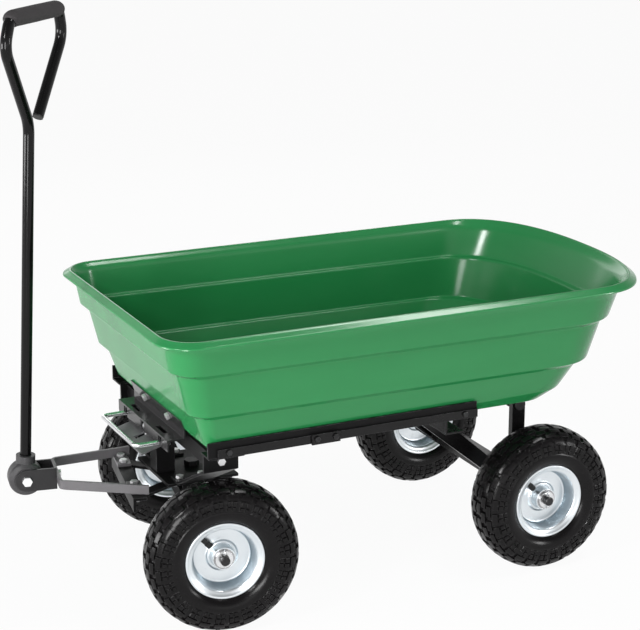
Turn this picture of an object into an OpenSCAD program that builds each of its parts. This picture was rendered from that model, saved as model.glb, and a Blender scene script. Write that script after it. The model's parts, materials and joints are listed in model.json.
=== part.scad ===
// Tipping dump cart: a moulded tray hinged over the rear axle, on a steel chassis with a
// steered front axle, a pull handle with a D-shaped grip and four pneumatic wheels.
// X runs to the rear, Y to the right-hand side, Z up; the floor is z = 0.

/* [Wheels] */
// Distance between the front and rear axles
wheelbase = 573; // [520:1:640]
// Distance between the wheel centre planes of one axle
track = 466; // [450:1:500]
// Outer diameter of the tyre
tyre_d = 260; // [254:1:266]
// Width of the tyre across the side walls
tyre_w = 82; // [78:1:86]
// Thickness of the tyre carcass
tyre_wall = 7; // [6:0.5:9]
// Depth of the tread grooves
tread_depth = 4; // [3:0.5:5]
// Number of tread lugs round the tyre
lug_count = 28; // [24:2:40]
// Width of the slots between the lugs
lug_gap = 7; // [4:0.5:8]
// Radius of the bead seat of the rim
bead_r = 62; // [60:0.5:64]
// Width of the rim between its flanges
rim_w = 60; // [56:1:64]
// Height of the rim flange over the bead seat
flange_h = 5; // [4:0.5:6]
// Radius of the drop centre of the rim
well_r = 55; // [53:0.5:57]
// Width of the drop centre
well_w = 34; // [30:1:38]
// Sheet thickness of the rim
rim_sheet = 2.5; // [2:0.5:3]
// Outer diameter of the hub tube
hub_d = 40; // [39:0.5:44]
// Length of the hub tube
hub_l = 44; // [40:1:60]
// Outer diameter of the wheel bearing
bearing_d = 35; // [33:0.5:36]
// Width of the wheel bearing
bearing_w = 11; // [9:0.5:13]
// Wall thickness of the inner tube
tube_wall = 2.5; // [2:0.5:3]
// Diameter of the valve stem
valve_d = 9; // [8:0.5:10]
// Length of the valve stem inside the rim well
valve_l = 27; // [20:1:30]
// Turn of the valve round the wheel, from the rear
valve_turn = 135; // [0:5:355]

/* [Axles] */
// Diameter of the axle rods
axle_d = 16; // [14:0.5:18]
// Outside width of the square axle beams
beam_w = 30; // [28:1:34]
// Wall thickness of the axle beams
beam_wall = 2.5; // [2:0.5:4]
// Length of the solid plug welded into each beam end
beam_plug = 20; // [15:1:30]
// Length of axle that stands out past the outer washer
axle_end = 10; // [8:1:14]
// Thickness of the axle washers
washer_t = 2.5; // [2:0.5:3]
// Outer diameter of the axle washers
washer_d = 30; // [26:1:34]
// Wire diameter of the cotter pins
cotter_d = 3.2; // [2.5:0.1:4]

/* [Tray] */
// Height of the tray floor over the ground
tray_floor_z = 303; // [296:1:312]
// Depth of the tray from its rim to the underside of its floor
tray_depth = 213; // [200:1:230]
// Width across the rim lip
tray_w = 576; // [556:1:596]
// Length of the tray at its rim, without the lip
tray_l = 929; // [910:1:950]
// Distance from the front axle to the front wall at the rim
tray_front = 133; // [125:1:140]
// Wall thickness
tray_wall = 4; // [3.5:0.5:5]
// Width of the rim lip
lip_w = 15; // [12:1:18]
// Height of the turned-down rim lip
lip_h = 13; // [11:1:16]
// Heights of the lower and upper moulded steps over the floor
step_z = [66, 146];
// Height of the sloped ledge at each step
step_h = 15; // [12:1:18]
// Inward shift of a step at the front, the sides and the rear
step_in = [15, 10, 19];
// Lean of the front wall in its top, middle and bottom bands
front_lean = [0.19, 0.27, 0.29];
// Lean of the side walls in their top, middle and bottom bands
side_lean = [0.15, 0.11, 0.30];
// Lean of the rear wall in its top, middle and bottom bands
rear_lean = [0.52, 0.40, 0.94];
// Radius of the front corners at the rim
corner_r = 58; // [45:1:70]
// Length of the rounded rear end at the rim
rear_round = 155; // [130:1:180]
// Fullness of the rounded rear end
rear_power = 2.4; // [2:0.1:3]

/* [Chassis] */
// Sheet thickness of the side rails
rail_t = 3; // [2.5:0.5:4]
// Gap between the tray side and the rail web at the top of the web
rail_gap = 1.7; // [1:0.1:4]
// Height of the rail web
rail_h = 27; // [24:1:30]
// Width of the rail flange under the tray
rail_flange = 30; // [26:1:36]
// Reach of the rails ahead of the front axle
rail_front = 62; // [58:1:70]
// Rear end of the rails behind the front axle
rail_rear = 440; // [425:1:460]
// Height and thickness of the side strap
strap_h = 15; // [13:1:17]
// Thickness of the side strap and its splice plate
strap_t = 4; // [3:0.5:5]
// Length of the splice plate on the side strap
splice_l = 52; // [44:1:60]
// Middle of the splice plate behind the front axle
splice_x = 148; // [130:1:170]
// Thickness of the pressed chassis plates
plate_t = 4; // [3:0.5:5]
// Width of the front legs along the cart
leg_w = 62; // [56:1:68]
// Height of the upright part of the front legs
leg_drop = 32; // [28:1:36]
// Underside of the pivot plate over the ground
pivot_plate_z = 198; // [194:1:204]
// Length and width of the pivot plate
pivot_plate = [130, 150];
// Depth of the channel of the cross members
cross_h = 28; // [24:1:28]
// Width of the channel of the cross members
cross_w = 36; // [30:1:42]
// Distance of the rear cross member behind the front axle
rear_cross_x = 400; // [380:1:415]
// Width of the front post along the cart
post_w = 34; // [30:1:38]
// Width of the front post across the cart
post_d = 30; // [26:1:36]
// Gap between a rear post and the tyre beside it
post_gap = 20; // [12:1:26]
// Clearance of the front legs from the middle of the tyres
leg_clear = 35; // [32:1:45]
// Distance of the tray hinge ahead of the rear axle
hinge_ahead = 11; // [5:1:14]
// Drop of the tray hinge below the tray floor
hinge_drop = 18; // [17.5:0.5:22]
// Diameter of the tray hinge rod
hinge_d = 12; // [10:0.5:14]
// Distance of the struts in from the rear posts
strut_in = 20; // [18:1:28]
// Depth of the struts
strut_h = 28; // [24:1:32]

/* [Latch] */
// Half width of the tray bracket
bracket_half = 120; // [110:1:130]
// Reach of the tray bracket ahead of the front axle
bracket_reach = 90; // [88:1:96]
// Height of the tray bracket flange over the ground
bracket_z = 300; // [299:0.5:302]
// Height of the turned-down front lip of the bracket
bracket_lip = 20; // [16:1:22]
// Wire diameter of the latch bail
bail_d = 8; // [7:0.5:9]
// Distance between the bail arms
bail_w = 168; // [150:1:176]
// Length of the bail from its pivot
bail_l = 54; // [45:1:60]
// Distance of the bail pivot ahead of the front axle
bail_x = 80; // [78:1:82]
// Height of the bail pivot over the ground
bail_z = 286; // [284:0.5:287]

/* [Steering and handle] */
// Angle at which the front axle stands turned
steer_pose = 10; // [0:1:20]
// Diameter of the king pin
king_d = 16; // [14:0.5:18]
// Thickness of the thrust washer on the king pin
thrust_t = 3.4; // [3:0.1:4]
// Distance of the tongue cross bar ahead of the king pin
bar_x = 112; // [106:1:120]
// Half length of the tongue cross bar
bar_half = 112; // [106:1:120]
// Height of the tongue strap
tongue_h = 16; // [14:1:20]
// Thickness of the tongue strap
tongue_t = 5; // [4:0.5:6]
// Rise of the tongue strap from the cross bar to its front end
tongue_rise = 8; // [4:1:12]
// Half width of the tongue at its front end
tongue_front = 54; // [44:1:58]
// Half width of the tongue at the cross bar
tongue_rear = 98; // [90:1:102]
// Distance of the handle pivot ahead of the king pin
pivot_x = 291; // [280:1:300]
// Diameter of the handle pivot bolt
pivot_d = 10; // [8:0.5:12]
// Diameter of the handle knuckle
knuckle_d = 60; // [56:1:66]
// Width of the handle knuckle
knuckle_w = 40; // [36:1:44]
// Height of the clevis cheeks
clevis_h = 38; // [34:1:42]
// Diameter of the handle tube
handle_d = 19; // [18:0.5:21]
// Length of the handle from its pivot to the D-shaped loop
handle_l = 620; // [580:5:660]
// Backward lean of the handle as it stands
handle_lean = 3; // [0:0.5:4]
// Turn of the loop from the length of the cart
loop_turn = 58; // [0:1:90]
// Height of the loop
loop_h = 170; // [150:1:190]
// Length of the straight top of the loop
loop_top = 185; // [170:1:200]
// Greatest width of the loop
loop_w = 221; // [205:1:235]
// Diameter of the grip sleeve
grip_d = 28; // [26:0.5:32]

/* [Fits] */
// Radial running clearance of a pin in its bore
run_clear = 0.05; // [0.02:0.01:0.1]
// Gap between pieces that lie on each other
seat_gap = 0.3; // [0.2:0.05:0.5]
// Radial clearance of a bolt in its hole
bolt_clear = 0.25; // [0.2:0.05:0.4]
// Diameter of the chassis bolts
bolt_d = 8; // [6:0.5:8]

/* [Hidden] */
$fn = 64;
wheel_r = tyre_d / 2;
rear_x = wheelbase;
rim_z = tray_floor_z + tray_depth;
front_x = -tray_front;
tray_rear = front_x + tray_l;
hub_half = hub_l / 2;
beam_half = track / 2 - hub_half - washer_t - 2 * seat_gap;
axle_half = track / 2 + hub_half + 2 * seat_gap + washer_t + axle_end;
hinge_x = rear_x - hinge_ahead;
hinge_z = tray_floor_z - hinge_drop;
rear_post_w = 12;
rear_post_y = track / 2 - tyre_w / 2 - post_gap - rear_post_w / 2;
strut_y = rear_post_y - strut_in;
rail_z = tray_floor_z - seat_gap - rail_t;
beam_top = wheel_r + beam_w / 2;
steer_plate_z = pivot_plate_z - thrust_t - 2 * seat_gap;
pivot_z = steer_plate_z + tongue_rise + tongue_h / 2;
green = [0.08, 0.42, 0.2];
black = [0.05, 0.05, 0.055];
zinc = [0.75, 0.76, 0.78];
rubber = [0.04, 0.04, 0.04];

// The part's origin lies on the floor under the middle of its box.
front_reach = (pivot_x + knuckle_d / 2) * cos(steer_pose) + (knuckle_w / 2 - 9) * sin(steer_pose);
middle_x = (tray_rear + lip_w - front_reach) / 2;

// Frames: the cart from its front axle, the steered axle, the handle along its tube.
module cart() {
    translate([-middle_x, 0, 0])
        children();
}

module steered() {
    cart()
        rotate([0, 0, -steer_pose])
            children();
}

module on_handle() {
    steered()
        translate([-pivot_x, 0, pivot_z])
            rotate([0, handle_lean, 0])
                children();
}

// One side of the cart: 1 is the right-hand side, -1 the left-hand side.
module on_side(side) {
    mirror([0, side < 0 ? 1 : 0, 0])
        children();
}

// A wheel frame with its own Z pointing out of the cart.
module wheel_at(x, side) {
    translate([x, side * track / 2, wheel_r])
        rotate([-90 * side, 0, 0])
            children();
}

module front_wheel(side) {
    steered()
        wheel_at(0, side)
            children();
}

module rear_wheel(side) {
    cart()
        wheel_at(rear_x, side)
            children();
}

// A section drawn in X and Z, run across the cart from y0 to y1.
module across(y0, y1) {
    translate([0, y1, 0])
        rotate([90, 0, 0])
            linear_extrude(y1 - y0)
                children();
}

// A section drawn in Y and Z, run along the cart from x0 to x1.
module along(x0, x1) {
    translate([x0, 0, 0])
        rotate([90, 0, 90])
            linear_extrude(x1 - x0)
                children();
}

// A hexagon bolt through a stack of plates: head above z = 0, nut below the grip.
module bolt(d, grip) {
    screw(d, grip + 0.75 * d);
    translate([0, 0, -grip - 0.5 * d])
        cylinder(h = 0.5 * d, d = 1.75 * d, $fn = 6);
}

// A hexagon screw that ends in the last plate: head above z = 0, shank below.
module screw(d, grip) {
    cylinder(h = 0.6 * d, d = 1.75 * d, $fn = 6);
    translate([0, 0, -grip])
        cylinder(h = grip + 0.3 * d, d = d);
}

module bolt_hole(d) {
    cylinder(h = 60, d = d + 2 * bolt_clear, center = true);
}

// A round rod along a planar path of corners, each bent to its own radius.
function turn_at(p, i) = let (a = p[i] - p[i - 1], b = p[i + 1] - p[i])
    atan2(a[0] * b[1] - a[1] * b[0], a * b);
bend_lap = 1;
bend_thin = 0.12;
function trim_at(p, r, i) = i == 0 || i == len(p) - 1 ? 0 : r[i] * tan(abs(turn_at(p, i)) / 2);

module bent_rod(p, r, d) {
    for (i = [0 : len(p) - 2]) {
        v = p[i + 1] - p[i];
        start = i == 0 ? 0 : trim_at(p, r, i) - bend_lap;
        end = i == len(p) - 2 ? 0 : trim_at(p, r, i + 1) - bend_lap;
        translate(p[i] + start * v / norm(v))
            rotate([0, 90, atan2(v[1], v[0])])
                cylinder(h = norm(v) - start - end, d = d);
    }
    for (i = [1 : len(p) - 2]) {
        v = p[i] - p[i - 1];
        turn = turn_at(p, i);
        way = turn > 0 ? 1 : -1;
        n = way * [-v[1], v[0]] / norm(v);
        c = p[i] - trim_at(p, r, i) * v / norm(v) + r[i] * n;
        from = atan2(-n[1], -n[0]);
        translate(c)
            rotate([0, 0, way > 0 ? from : from + turn])
                rotate_extrude(angle = abs(turn))
                    translate([r[i], 0])
                        circle(d = d - 2 * bend_thin);
    }
}

// Tray outline at a height: inward shift of each wall, rounded rear, round front corners.
step_top = [rim_z, tray_floor_z + step_z[1], tray_floor_z + step_z[0]];
step_low = [for (z = [step_z[1], step_z[0], 0]) tray_floor_z + z + (z > 0 ? step_h / 2 : 0)];
top_band = rim_z - step_low[0];
mid_band = step_low[0] - step_h - step_low[1];
low_band = step_low[1] - step_h - tray_floor_z;

function wall_in(lean, shift) = [
    0,
    lean[0] * top_band,
    lean[0] * top_band + shift,
    lean[0] * top_band + lean[1] * mid_band + shift,
    lean[0] * top_band + lean[1] * mid_band + 2 * shift,
    lean[0] * top_band + lean[1] * mid_band + lean[2] * low_band + 2 * shift];
front_in = wall_in(front_lean, step_in[0]);
side_in = wall_in(side_lean, step_in[1]);
rear_in = wall_in(rear_lean, step_in[2]);
level_z = [rim_z, step_low[0], step_low[0] - step_h, step_low[1], step_low[1] - step_h, tray_floor_z];

function power(v, n) = sign(v) * pow(abs(v), n);

// One ring of the tray: front, side and rear shifts inward from the rim, at height z.
function ring(f, s, r, z) = let (
        half = tray_w / 2 - lip_w - s,
        back = tray_rear - r,
        round_l = rear_round - 0.4 * r,
        corner = corner_r - 0.5 * f,
        cx = front_x + f + corner,
        cy = half - corner)
    concat(
        [for (i = [-16 : 16]) [
            back - round_l + round_l * power(cos(i * 90 / 16), 2 / rear_power),
            half * power(sin(i * 90 / 16), 2 / rear_power), z]],
        [for (i = [0 : 7]) [cx + corner * cos(90 + i * 90 / 7), cy + corner * sin(90 + i * 90 / 7), z]],
        [for (i = [0 : 7]) [cx + corner * cos(180 + i * 90 / 7), -cy + corner * sin(180 + i * 90 / 7), z]]);

function even_ring(o, z) = ring(o, o, o, z);
function level_ring(i, t, dz) = ring(front_in[i] + t, side_in[i] + t, rear_in[i] + 1.3 * t, level_z[i] + dz);

// The top band flares out toward the rim at the rear.
function flare_ring(t) = ring(0.4 * front_in[1] + t, 0.4 * side_in[1] + t,
    0.52 * rear_in[1] + 1.2 * t, rim_z - 0.4 * top_band);

floor_edge = 2.5 * tray_wall;
tray_rings = [
    ring(front_in[5] + floor_edge, side_in[5] + floor_edge, rear_in[5] + 1.6 * floor_edge, tray_floor_z),
    ring(front_in[5] + 0.25 * floor_edge, side_in[5] + 0.25 * floor_edge,
        rear_in[5] + 0.3 * floor_edge, tray_floor_z + 0.3 * floor_edge),
    level_ring(4, 0, 0),
    level_ring(3, 0, 0),
    level_ring(2, 0, 0),
    level_ring(1, 0, 0),
    flare_ring(0),
    even_ring(0, rim_z - tray_wall),
    even_ring(tray_wall - lip_w, rim_z - tray_wall),
    even_ring(tray_wall - lip_w, rim_z - lip_h),
    even_ring(-lip_w, rim_z - lip_h),
    even_ring(-lip_w, rim_z - 2.5),
    even_ring(2.5 - lip_w, rim_z),
    even_ring(1, rim_z),
    even_ring(tray_wall, rim_z - 3),
    flare_ring(tray_wall),
    level_ring(1, tray_wall, 1),
    level_ring(2, tray_wall, 1),
    level_ring(3, tray_wall, 1),
    level_ring(4, tray_wall, 1),
    ring(front_in[5] + tray_wall + 2, side_in[5] + tray_wall + 2, rear_in[5] + tray_wall + 4,
        tray_floor_z + tray_wall + 6),
    ring(front_in[5] + tray_wall + floor_edge, side_in[5] + tray_wall + floor_edge,
        rear_in[5] + tray_wall + 1.6 * floor_edge, tray_floor_z + tray_wall)];

module tray() {
    n = len(tray_rings[0]);
    last = len(tray_rings) - 1;
    sides = [for (k = [0 : last - 1], i = [0 : n - 1], half = [0, 1])
        let (a = k * n + i, b = k * n + (i + 1) % n)
        half == 0 ? [a, a + n, b + n] : [a, b + n, b]];
    floor_under = [[for (i = [0 : n - 1]) i]];
    floor_inside = [[for (i = [n - 1 : -1 : 0]) last * n + i]];
    color(green)
        cart()
            polyhedron(points = [for (r = tray_rings) each r],
                faces = concat(sides, floor_under, floor_inside));
}

// Front bracket of the tray: a flange on the front wall, a shelf, a front lip and two ears.
wall_foot = [tray_floor_z + 0.3 * floor_edge, front_in[5] + 0.25 * floor_edge];
wall_slope = (wall_foot[1] - front_in[4]) / (level_z[4] - wall_foot[0]);
function front_wall(z) = front_x + wall_foot[1] - wall_slope * (z - wall_foot[0]);
bracket_t = 3;
bracket_top = tray_floor_z + 29;
bracket_low = tray_floor_z + floor_edge;
bracket_bolt_z = tray_floor_z + 18;
bracket_bolt_y = 55;
ear_y = bail_w / 2 + bail_d / 2 + 3;

module tray_front_bracket() {
    color(black)
        cart()
            difference() {
                union() {
                    across(-bracket_half, bracket_half)
                        polygon([
                            [front_wall(bracket_top), bracket_top],
                            [front_wall(bracket_low), bracket_low],
                            [front_wall(bracket_low), bracket_z - bracket_t],
                            [-bracket_reach, bracket_z - bracket_t],
                            [-bracket_reach, bracket_z],
                            [front_wall(bracket_low) - bracket_t, bracket_z],
                            [front_wall(bracket_low) - bracket_t, bracket_low],
                            [front_wall(bracket_top) - bracket_t, bracket_top]]);
                    for (side = [-1, 1], y = [[hook_half + 4, bail_w / 2 - bail_d], [ear_y + 2, bracket_half]])
                        on_side(side)
                            across(y[0], y[1])
                                translate([-bracket_reach, bracket_z - bracket_lip])
                                    square([bracket_t, bracket_lip]);
                    for (side = [-1, 1])
                        on_side(side)
                            across(ear_y, ear_y + plate_t)
                                difference() {
                                    translate([-bail_x - 8, bail_z - 8])
                                        square([20, bracket_z - bail_z + 6]);
                                    translate([-bail_x, bail_z])
                                        circle(d = bail_d + 2 * run_clear);
                                }
                }
                for (y = [-bracket_bolt_y, bracket_bolt_y])
                    bracket_bolt_axis(y)
                        cylinder(h = 20, d = bolt_d + 2 * bolt_clear, center = true);
                for (y = [-62, 62])
                    translate([-bracket_reach + 13, y, bracket_z])
                        cube([9, 40, 20], center = true);
            }
}

// Outward normal of the front wall through the middle of a bracket bolt.
module bracket_bolt_axis(y) {
    translate([front_wall(bracket_bolt_z), y, bracket_bolt_z])
        rotate([0, -90 - atan(wall_slope), 0])
            children();
}

// Hinge bracket under the tray floor: a plate across with an ear at each end.
hinge_ear_y = strut_y;
hinge_ear_r = hinge_drop - 5;
hinge_plate_l = 70;

module tray_hinge_bracket() {
    color(black)
        cart()
            difference() {
                union() {
                    translate([hinge_x - hinge_plate_l / 2, -hinge_ear_y, tray_floor_z - plate_t])
                        cube([hinge_plate_l, 2 * hinge_ear_y, plate_t]);
                    for (side = [-1, 1])
                        on_side(side)
                            across(hinge_ear_y - plate_t, hinge_ear_y) {
                                translate([hinge_x - hinge_ear_r, hinge_z])
                                    square([2 * hinge_ear_r, hinge_drop - 1]);
                                translate([hinge_x, hinge_z])
                                    circle(r = hinge_ear_r);
                            }
                }
                translate([hinge_x, 0, hinge_z])
                    rotate([90, 0, 0])
                        cylinder(h = 3 * hinge_ear_y, d = hinge_d + 2 * run_clear, center = true);
                hinge_bolt_places()
                    bolt_hole(bolt_d);
            }
}

module hinge_bolt_places() {
    for (x = [-1, 1], y = [-1, 1])
        translate([hinge_x + x * (hinge_plate_l / 2 - 11), y * (hinge_ear_y - 41), tray_floor_z - plate_t])
            children();
}

// Screws of the tray brackets; their shanks end at the moulded wall.
module tray_bolts() {
    color(zinc)
        cart() {
            for (y = [-bracket_bolt_y, bracket_bolt_y])
                bracket_bolt_axis(y)
                    translate([0, 0, bracket_t * cos(atan(wall_slope))])
                        screw(bolt_d, bracket_t * cos(atan(wall_slope)));
            hinge_bolt_places()
                rotate([180, 0, 0])
                    screw(bolt_d, plate_t);
        }
}

// Latch bail: a closed wire frame turning in the ears of the tray bracket.
hook_half = 5;

module latch_bail() {
    color(zinc)
        cart()
            translate([-bail_x, 0, bail_z]) {
                bent_rod([[0, bail_w / 2], [-bail_l, bail_w / 2], [-bail_l, -bail_w / 2], [0, -bail_w / 2]],
                    [0, 10, 10, 0], bail_d);
                rotate([90, 0, 0])
                    cylinder(h = bail_w + 4 * bail_d, d = bail_d, center = true);
            }
}

// Hook pressed on the bail rod; its nose reaches through the slot of the latch plate.
hook_nose = 9;
hook_low = 27;

module latch_hook() {
    color(zinc)
        cart()
            translate([-bail_x, 0, bail_z])
                across(-hook_half, hook_half)
                    difference() {
                        union() {
                            circle(d = 2 * bail_d);
                            translate([-bail_d / 2, -hook_low])
                                square([bail_d, hook_low]);
                            polygon([[0, -hook_low], [hook_nose, -hook_low], [hook_nose, 5 - hook_low],
                                [0, 9 - hook_low]]);
                        }
                        circle(d = bail_d + 2 * run_clear);
                    }
}

// Side rail: an angle with its web beside the tray and its flange under the floor.
rail_in = tray_w / 2 - lip_w - side_in[5] + side_lean[2] * (rail_h - rail_t) + rail_gap;
rail_out = rail_in + rail_t;
strap_bolt_x = [-26, splice_x - splice_l / 2 + 9, splice_x + splice_l / 2 - 9, rail_rear - 25];
strap_bolt_z = rail_z + strap_h / 2 + 1;

module strap_bolt_places() {
    for (x = strap_bolt_x)
        translate([x, rail_out + strap_t, strap_bolt_z])
            rotate([-90, 0, 0])
                children();
}

module rail(side) {
    color(black)
        cart()
            on_side(side)
                difference() {
                    along(-rail_front, rail_rear) {
                        translate([rail_in, rail_z])
                            square([rail_t, rail_h]);
                        translate([rail_out - rail_flange, rail_z])
                            square([rail_flange, rail_t]);
                    }
                    strap_bolt_places()
                        bolt_hole(bolt_d * 0.75);
                }
}

module rail_left() {
    rail(-1);
}

module rail_right() {
    rail(1);
}

module side_strap(side) {
    color(black)
        cart()
            on_side(side)
                difference() {
                    translate([16 - rail_front, rail_out, rail_z])
                        cube([rail_rear + rail_front - 16, strap_t, strap_h]);
                    strap_bolt_places()
                        bolt_hole(bolt_d * 0.75);
                }
}

module side_strap_left() {
    side_strap(-1);
}

module side_strap_right() {
    side_strap(1);
}

// Splice plates over the joints of the side straps.
module splice_plates() {
    color(black)
        cart()
            for (side = [-1, 1])
                on_side(side)
                    difference() {
                        translate([splice_x - splice_l / 2, rail_out + strap_t, rail_z - 1.5])
                            cube([splice_l, strap_t, strap_h + 3]);
                        strap_bolt_places()
                            bolt_hole(bolt_d * 0.75);
                    }
}

module strap_bolts() {
    d = bolt_d * 0.75;
    color(zinc)
        cart()
            for (side = [-1, 1], i = [0 : 3]) {
                over = i == 1 || i == 2 ? strap_t : 0;
                on_side(side)
                    translate([strap_bolt_x[i], rail_out + strap_t + over, strap_bolt_z])
                        rotate([-90, 0, 0])
                            bolt(d, rail_t + strap_t + over);
            }
}

// Cross members: channels under the rails with end plates.
front_cross_x = -27;
cross_top = rail_z - plate_t;
cross_half = min(rail_out - rail_flange - plate_t + 1, track / 2 - leg_clear);
leg_bolt_z = cross_top - cross_h / 2;

module channel_across(x, half) {
    across(-half, half)
        difference() {
            translate([x - cross_w / 2, cross_top - cross_h])
                square([cross_w, cross_h]);
            translate([x - cross_w / 2 + rail_t, cross_top - cross_h + rail_t])
                square([cross_w, cross_h - 2 * rail_t]);
        }
}

module front_cross_member() {
    color(black)
        cart()
            difference() {
                union() {
                    channel_across(front_cross_x, cross_half - 1);
                    for (side = [-1, 1])
                        on_side(side)
                            translate([front_cross_x - cross_w / 2, cross_half - plate_t, cross_top - cross_h])
                                cube([cross_w, plate_t, cross_h]);
                }
                leg_bolt_places()
                    bolt_hole(bolt_d);
            }
}

module leg_bolt_places() {
    for (side = [-1, 1])
        on_side(side)
            translate([front_cross_x, cross_half + plate_t, leg_bolt_z])
                rotate([-90, 0, 0])
                    children();
}

module rear_cross_member() {
    color(black)
        cart() {
            translate([0, 0, plate_t])
                channel_across(rear_cross_x, rail_in - 1);
        }
}

// Front leg: a tab under the rail, an upright, a slope down and a tab on the pivot plate.
leg_out = cross_half + plate_t;
foot_y = pivot_plate[1] / 2 + 3;
foot_z = pivot_plate_z + 5;
foot_bolt_y = pivot_plate[1] / 2 - 13;

module front_leg(side) {
    color(black)
        cart()
            on_side(side)
                difference() {
                    along(front_cross_x - leg_w / 2, front_cross_x + leg_w / 2)
                        polygon([
                            [rail_in, rail_z],
                            [cross_half, rail_z],
                            [cross_half, rail_z - leg_drop],
                            [foot_y, foot_z + plate_t],
                            [foot_y - 30, foot_z + plate_t],
                            [foot_y - 30, foot_z],
                            [foot_y + 2, foot_z],
                            [leg_out, rail_z - leg_drop - 3],
                            [leg_out, rail_z - plate_t],
                            [rail_in, rail_z - plate_t]]);
                    translate([front_cross_x, leg_out, leg_bolt_z])
                        rotate([-90, 0, 0])
                            bolt_hole(bolt_d);
                    for (x = [-20, 20])
                        translate([front_cross_x + x, foot_bolt_y, foot_z])
                            bolt_hole(bolt_d);
                }
}

module front_leg_left() {
    front_leg(-1);
}

module front_leg_right() {
    front_leg(1);
}

module leg_bolts() {
    color(zinc)
        cart() {
            leg_bolt_places()
                bolt(bolt_d, 2 * plate_t);
            for (side = [-1, 1], x = [-20, 20])
                on_side(side)
                    translate([front_cross_x + x, foot_bolt_y, foot_z + plate_t])
                        screw(bolt_d, plate_t + foot_z - pivot_plate_z - seat_gap);
        }
}

// Pivot plate carrying the king pin, and the post that stands on it.
module pivot_plate_front() {
    color(black)
        cart()
            difference() {
                translate([-pivot_plate[0] / 2 - 8, -pivot_plate[1] / 2, pivot_plate_z])
                    cube([pivot_plate[0], pivot_plate[1], foot_z - pivot_plate_z]);
                translate([0, 0, pivot_plate_z])
                    cylinder(h = 30, d = king_d + 2 * run_clear, center = true);
                for (side = [-1, 1], x = [-20, 20])
                    translate([front_cross_x + x, side * foot_bolt_y, foot_z])
                        bolt_hole(bolt_d);
            }
}

module front_post() {
    color(black)
        cart()
            translate([-pivot_plate[0] / 2 - 6, 0, foot_z])
                linear_extrude(cross_top - cross_h - foot_z)
                    difference() {
                        translate([0, -post_d / 2])
                            square([post_w, post_d]);
                        translate([rail_t, rail_t - post_d / 2])
                            square([post_w, post_d - 2 * rail_t]);
                    }
}

// Latch plate: bent forward and down from the front cross member, slotted for the hook.
latch_half = 70;
latch_drop = 17;
latch_z = cross_top - 14;
latch_tail = front_cross_x - cross_w / 2;
latch_nose = -118;
slot_rear = hook_nose + seat_gap + 0.5 - bail_x;
slot_l = 34;

module latch_plate() {
    color([0.22, 0.23, 0.24])
        cart()
            difference() {
                across(-latch_half, latch_half)
                    polygon([
                        [latch_tail, latch_z],
                        [latch_tail - 17, latch_z],
                        [latch_nose, latch_z - latch_drop],
                        [latch_nose, latch_z - latch_drop - rail_t],
                        [latch_tail - 17, latch_z - rail_t],
                        [latch_tail, latch_z - rail_t]]);
                translate([slot_rear - slot_l, -hook_half - 2, latch_z - 40])
                    cube([slot_l, 2 * hook_half + 4, 60]);
            }
}

// Axles: a square beam with bored end plugs, a rod through it, washers and cotter pins.
module axle_beam() {
    color(black)
        difference() {
            translate([-beam_w / 2, -beam_half, wheel_r - beam_w / 2])
                cube([beam_w, 2 * beam_half, beam_w]);
            translate([beam_wall - beam_w / 2, beam_plug - beam_half, wheel_r - beam_w / 2 + beam_wall])
                cube([beam_w - 2 * beam_wall, 2 * (beam_half - beam_plug), beam_w - 2 * beam_wall]);
            translate([0, 0, wheel_r])
                rotate([90, 0, 0])
                    cylinder(h = 4 * beam_half, d = axle_d + 2 * run_clear, center = true);
        }
}

cotter_y = track / 2 + hub_half + seat_gap + washer_t + cotter_d / 2 + 1;

module axle_rod() {
    color(zinc)
        difference() {
            translate([0, 0, wheel_r])
                rotate([90, 0, 0]) {
                    cylinder(h = 2 * axle_half - 3, d = axle_d, center = true);
                    for (side = [0, 180])
                        rotate([side, 0, 0])
                            translate([0, 0, axle_half - 1.5])
                                cylinder(h = 1.5, r1 = axle_d / 2, r2 = axle_d / 2 - 1.5);
                }
            for (side = [-1, 1])
                translate([0, side * cotter_y, wheel_r])
                    cylinder(h = 2 * axle_d, d = cotter_d + 2 * bolt_clear, center = true);
        }
}

module axle_retainers() {
    color(zinc)
        for (side = [-1, 1])
            on_side(side) {
                for (y = [beam_half + seat_gap / 2, track / 2 + hub_half + seat_gap])
                    translate([0, y, wheel_r])
                        rotate([-90, 0, 0])
                            difference() {
                                cylinder(h = washer_t, d = washer_d);
                                cylinder(h = 3 * washer_t, d = axle_d + 2 * seat_gap, center = true);
                            }
                translate([0, cotter_y, wheel_r]) {
                    translate([0, 0, -axle_d / 2 - 6])
                        cylinder(h = axle_d + 10, d = cotter_d);
                    translate([0, 0, axle_d / 2 + 6])
                        rotate([0, 90, 0])
                            rotate_extrude()
                                translate([3.5, 0])
                                    circle(d = cotter_d - 0.4);
                }
            }
}

module rear_axle_beam() {
    cart()
        translate([rear_x, 0, 0])
            axle_beam();
}

module rear_axle_rod() {
    cart()
        translate([rear_x, 0, 0])
            axle_rod();
}

module rear_axle_retainers() {
    cart()
        translate([rear_x, 0, 0])
            axle_retainers();
}

// Rear posts carry the hinge rod; struts run from the rear cross member to the axle beam.
rear_post_r = hinge_drop - 5;

module rear_post(side) {
    color(black)
        cart()
            on_side(side)
                difference() {
                    across(rear_post_y - rear_post_w / 2, rear_post_y + rear_post_w / 2) {
                        translate([hinge_x - rear_post_r, beam_top])
                            square([2 * rear_post_r, hinge_z - beam_top]);
                        translate([hinge_x, hinge_z])
                            circle(r = rear_post_r);
                    }
                    across(rear_post_y - rear_post_w / 2 - 1, rear_post_y + rear_post_w / 2 - rail_t)
                        translate([hinge_x - rear_post_r + rail_t, beam_top + rail_t])
                            square([2 * (rear_post_r - rail_t), hinge_z - beam_top - rear_post_r - rail_t]);
                    translate([hinge_x, rear_post_y, hinge_z])
                        rotate([90, 0, 0])
                            cylinder(h = 60, d = hinge_d + 2 * run_clear, center = true);
                }
}

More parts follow.
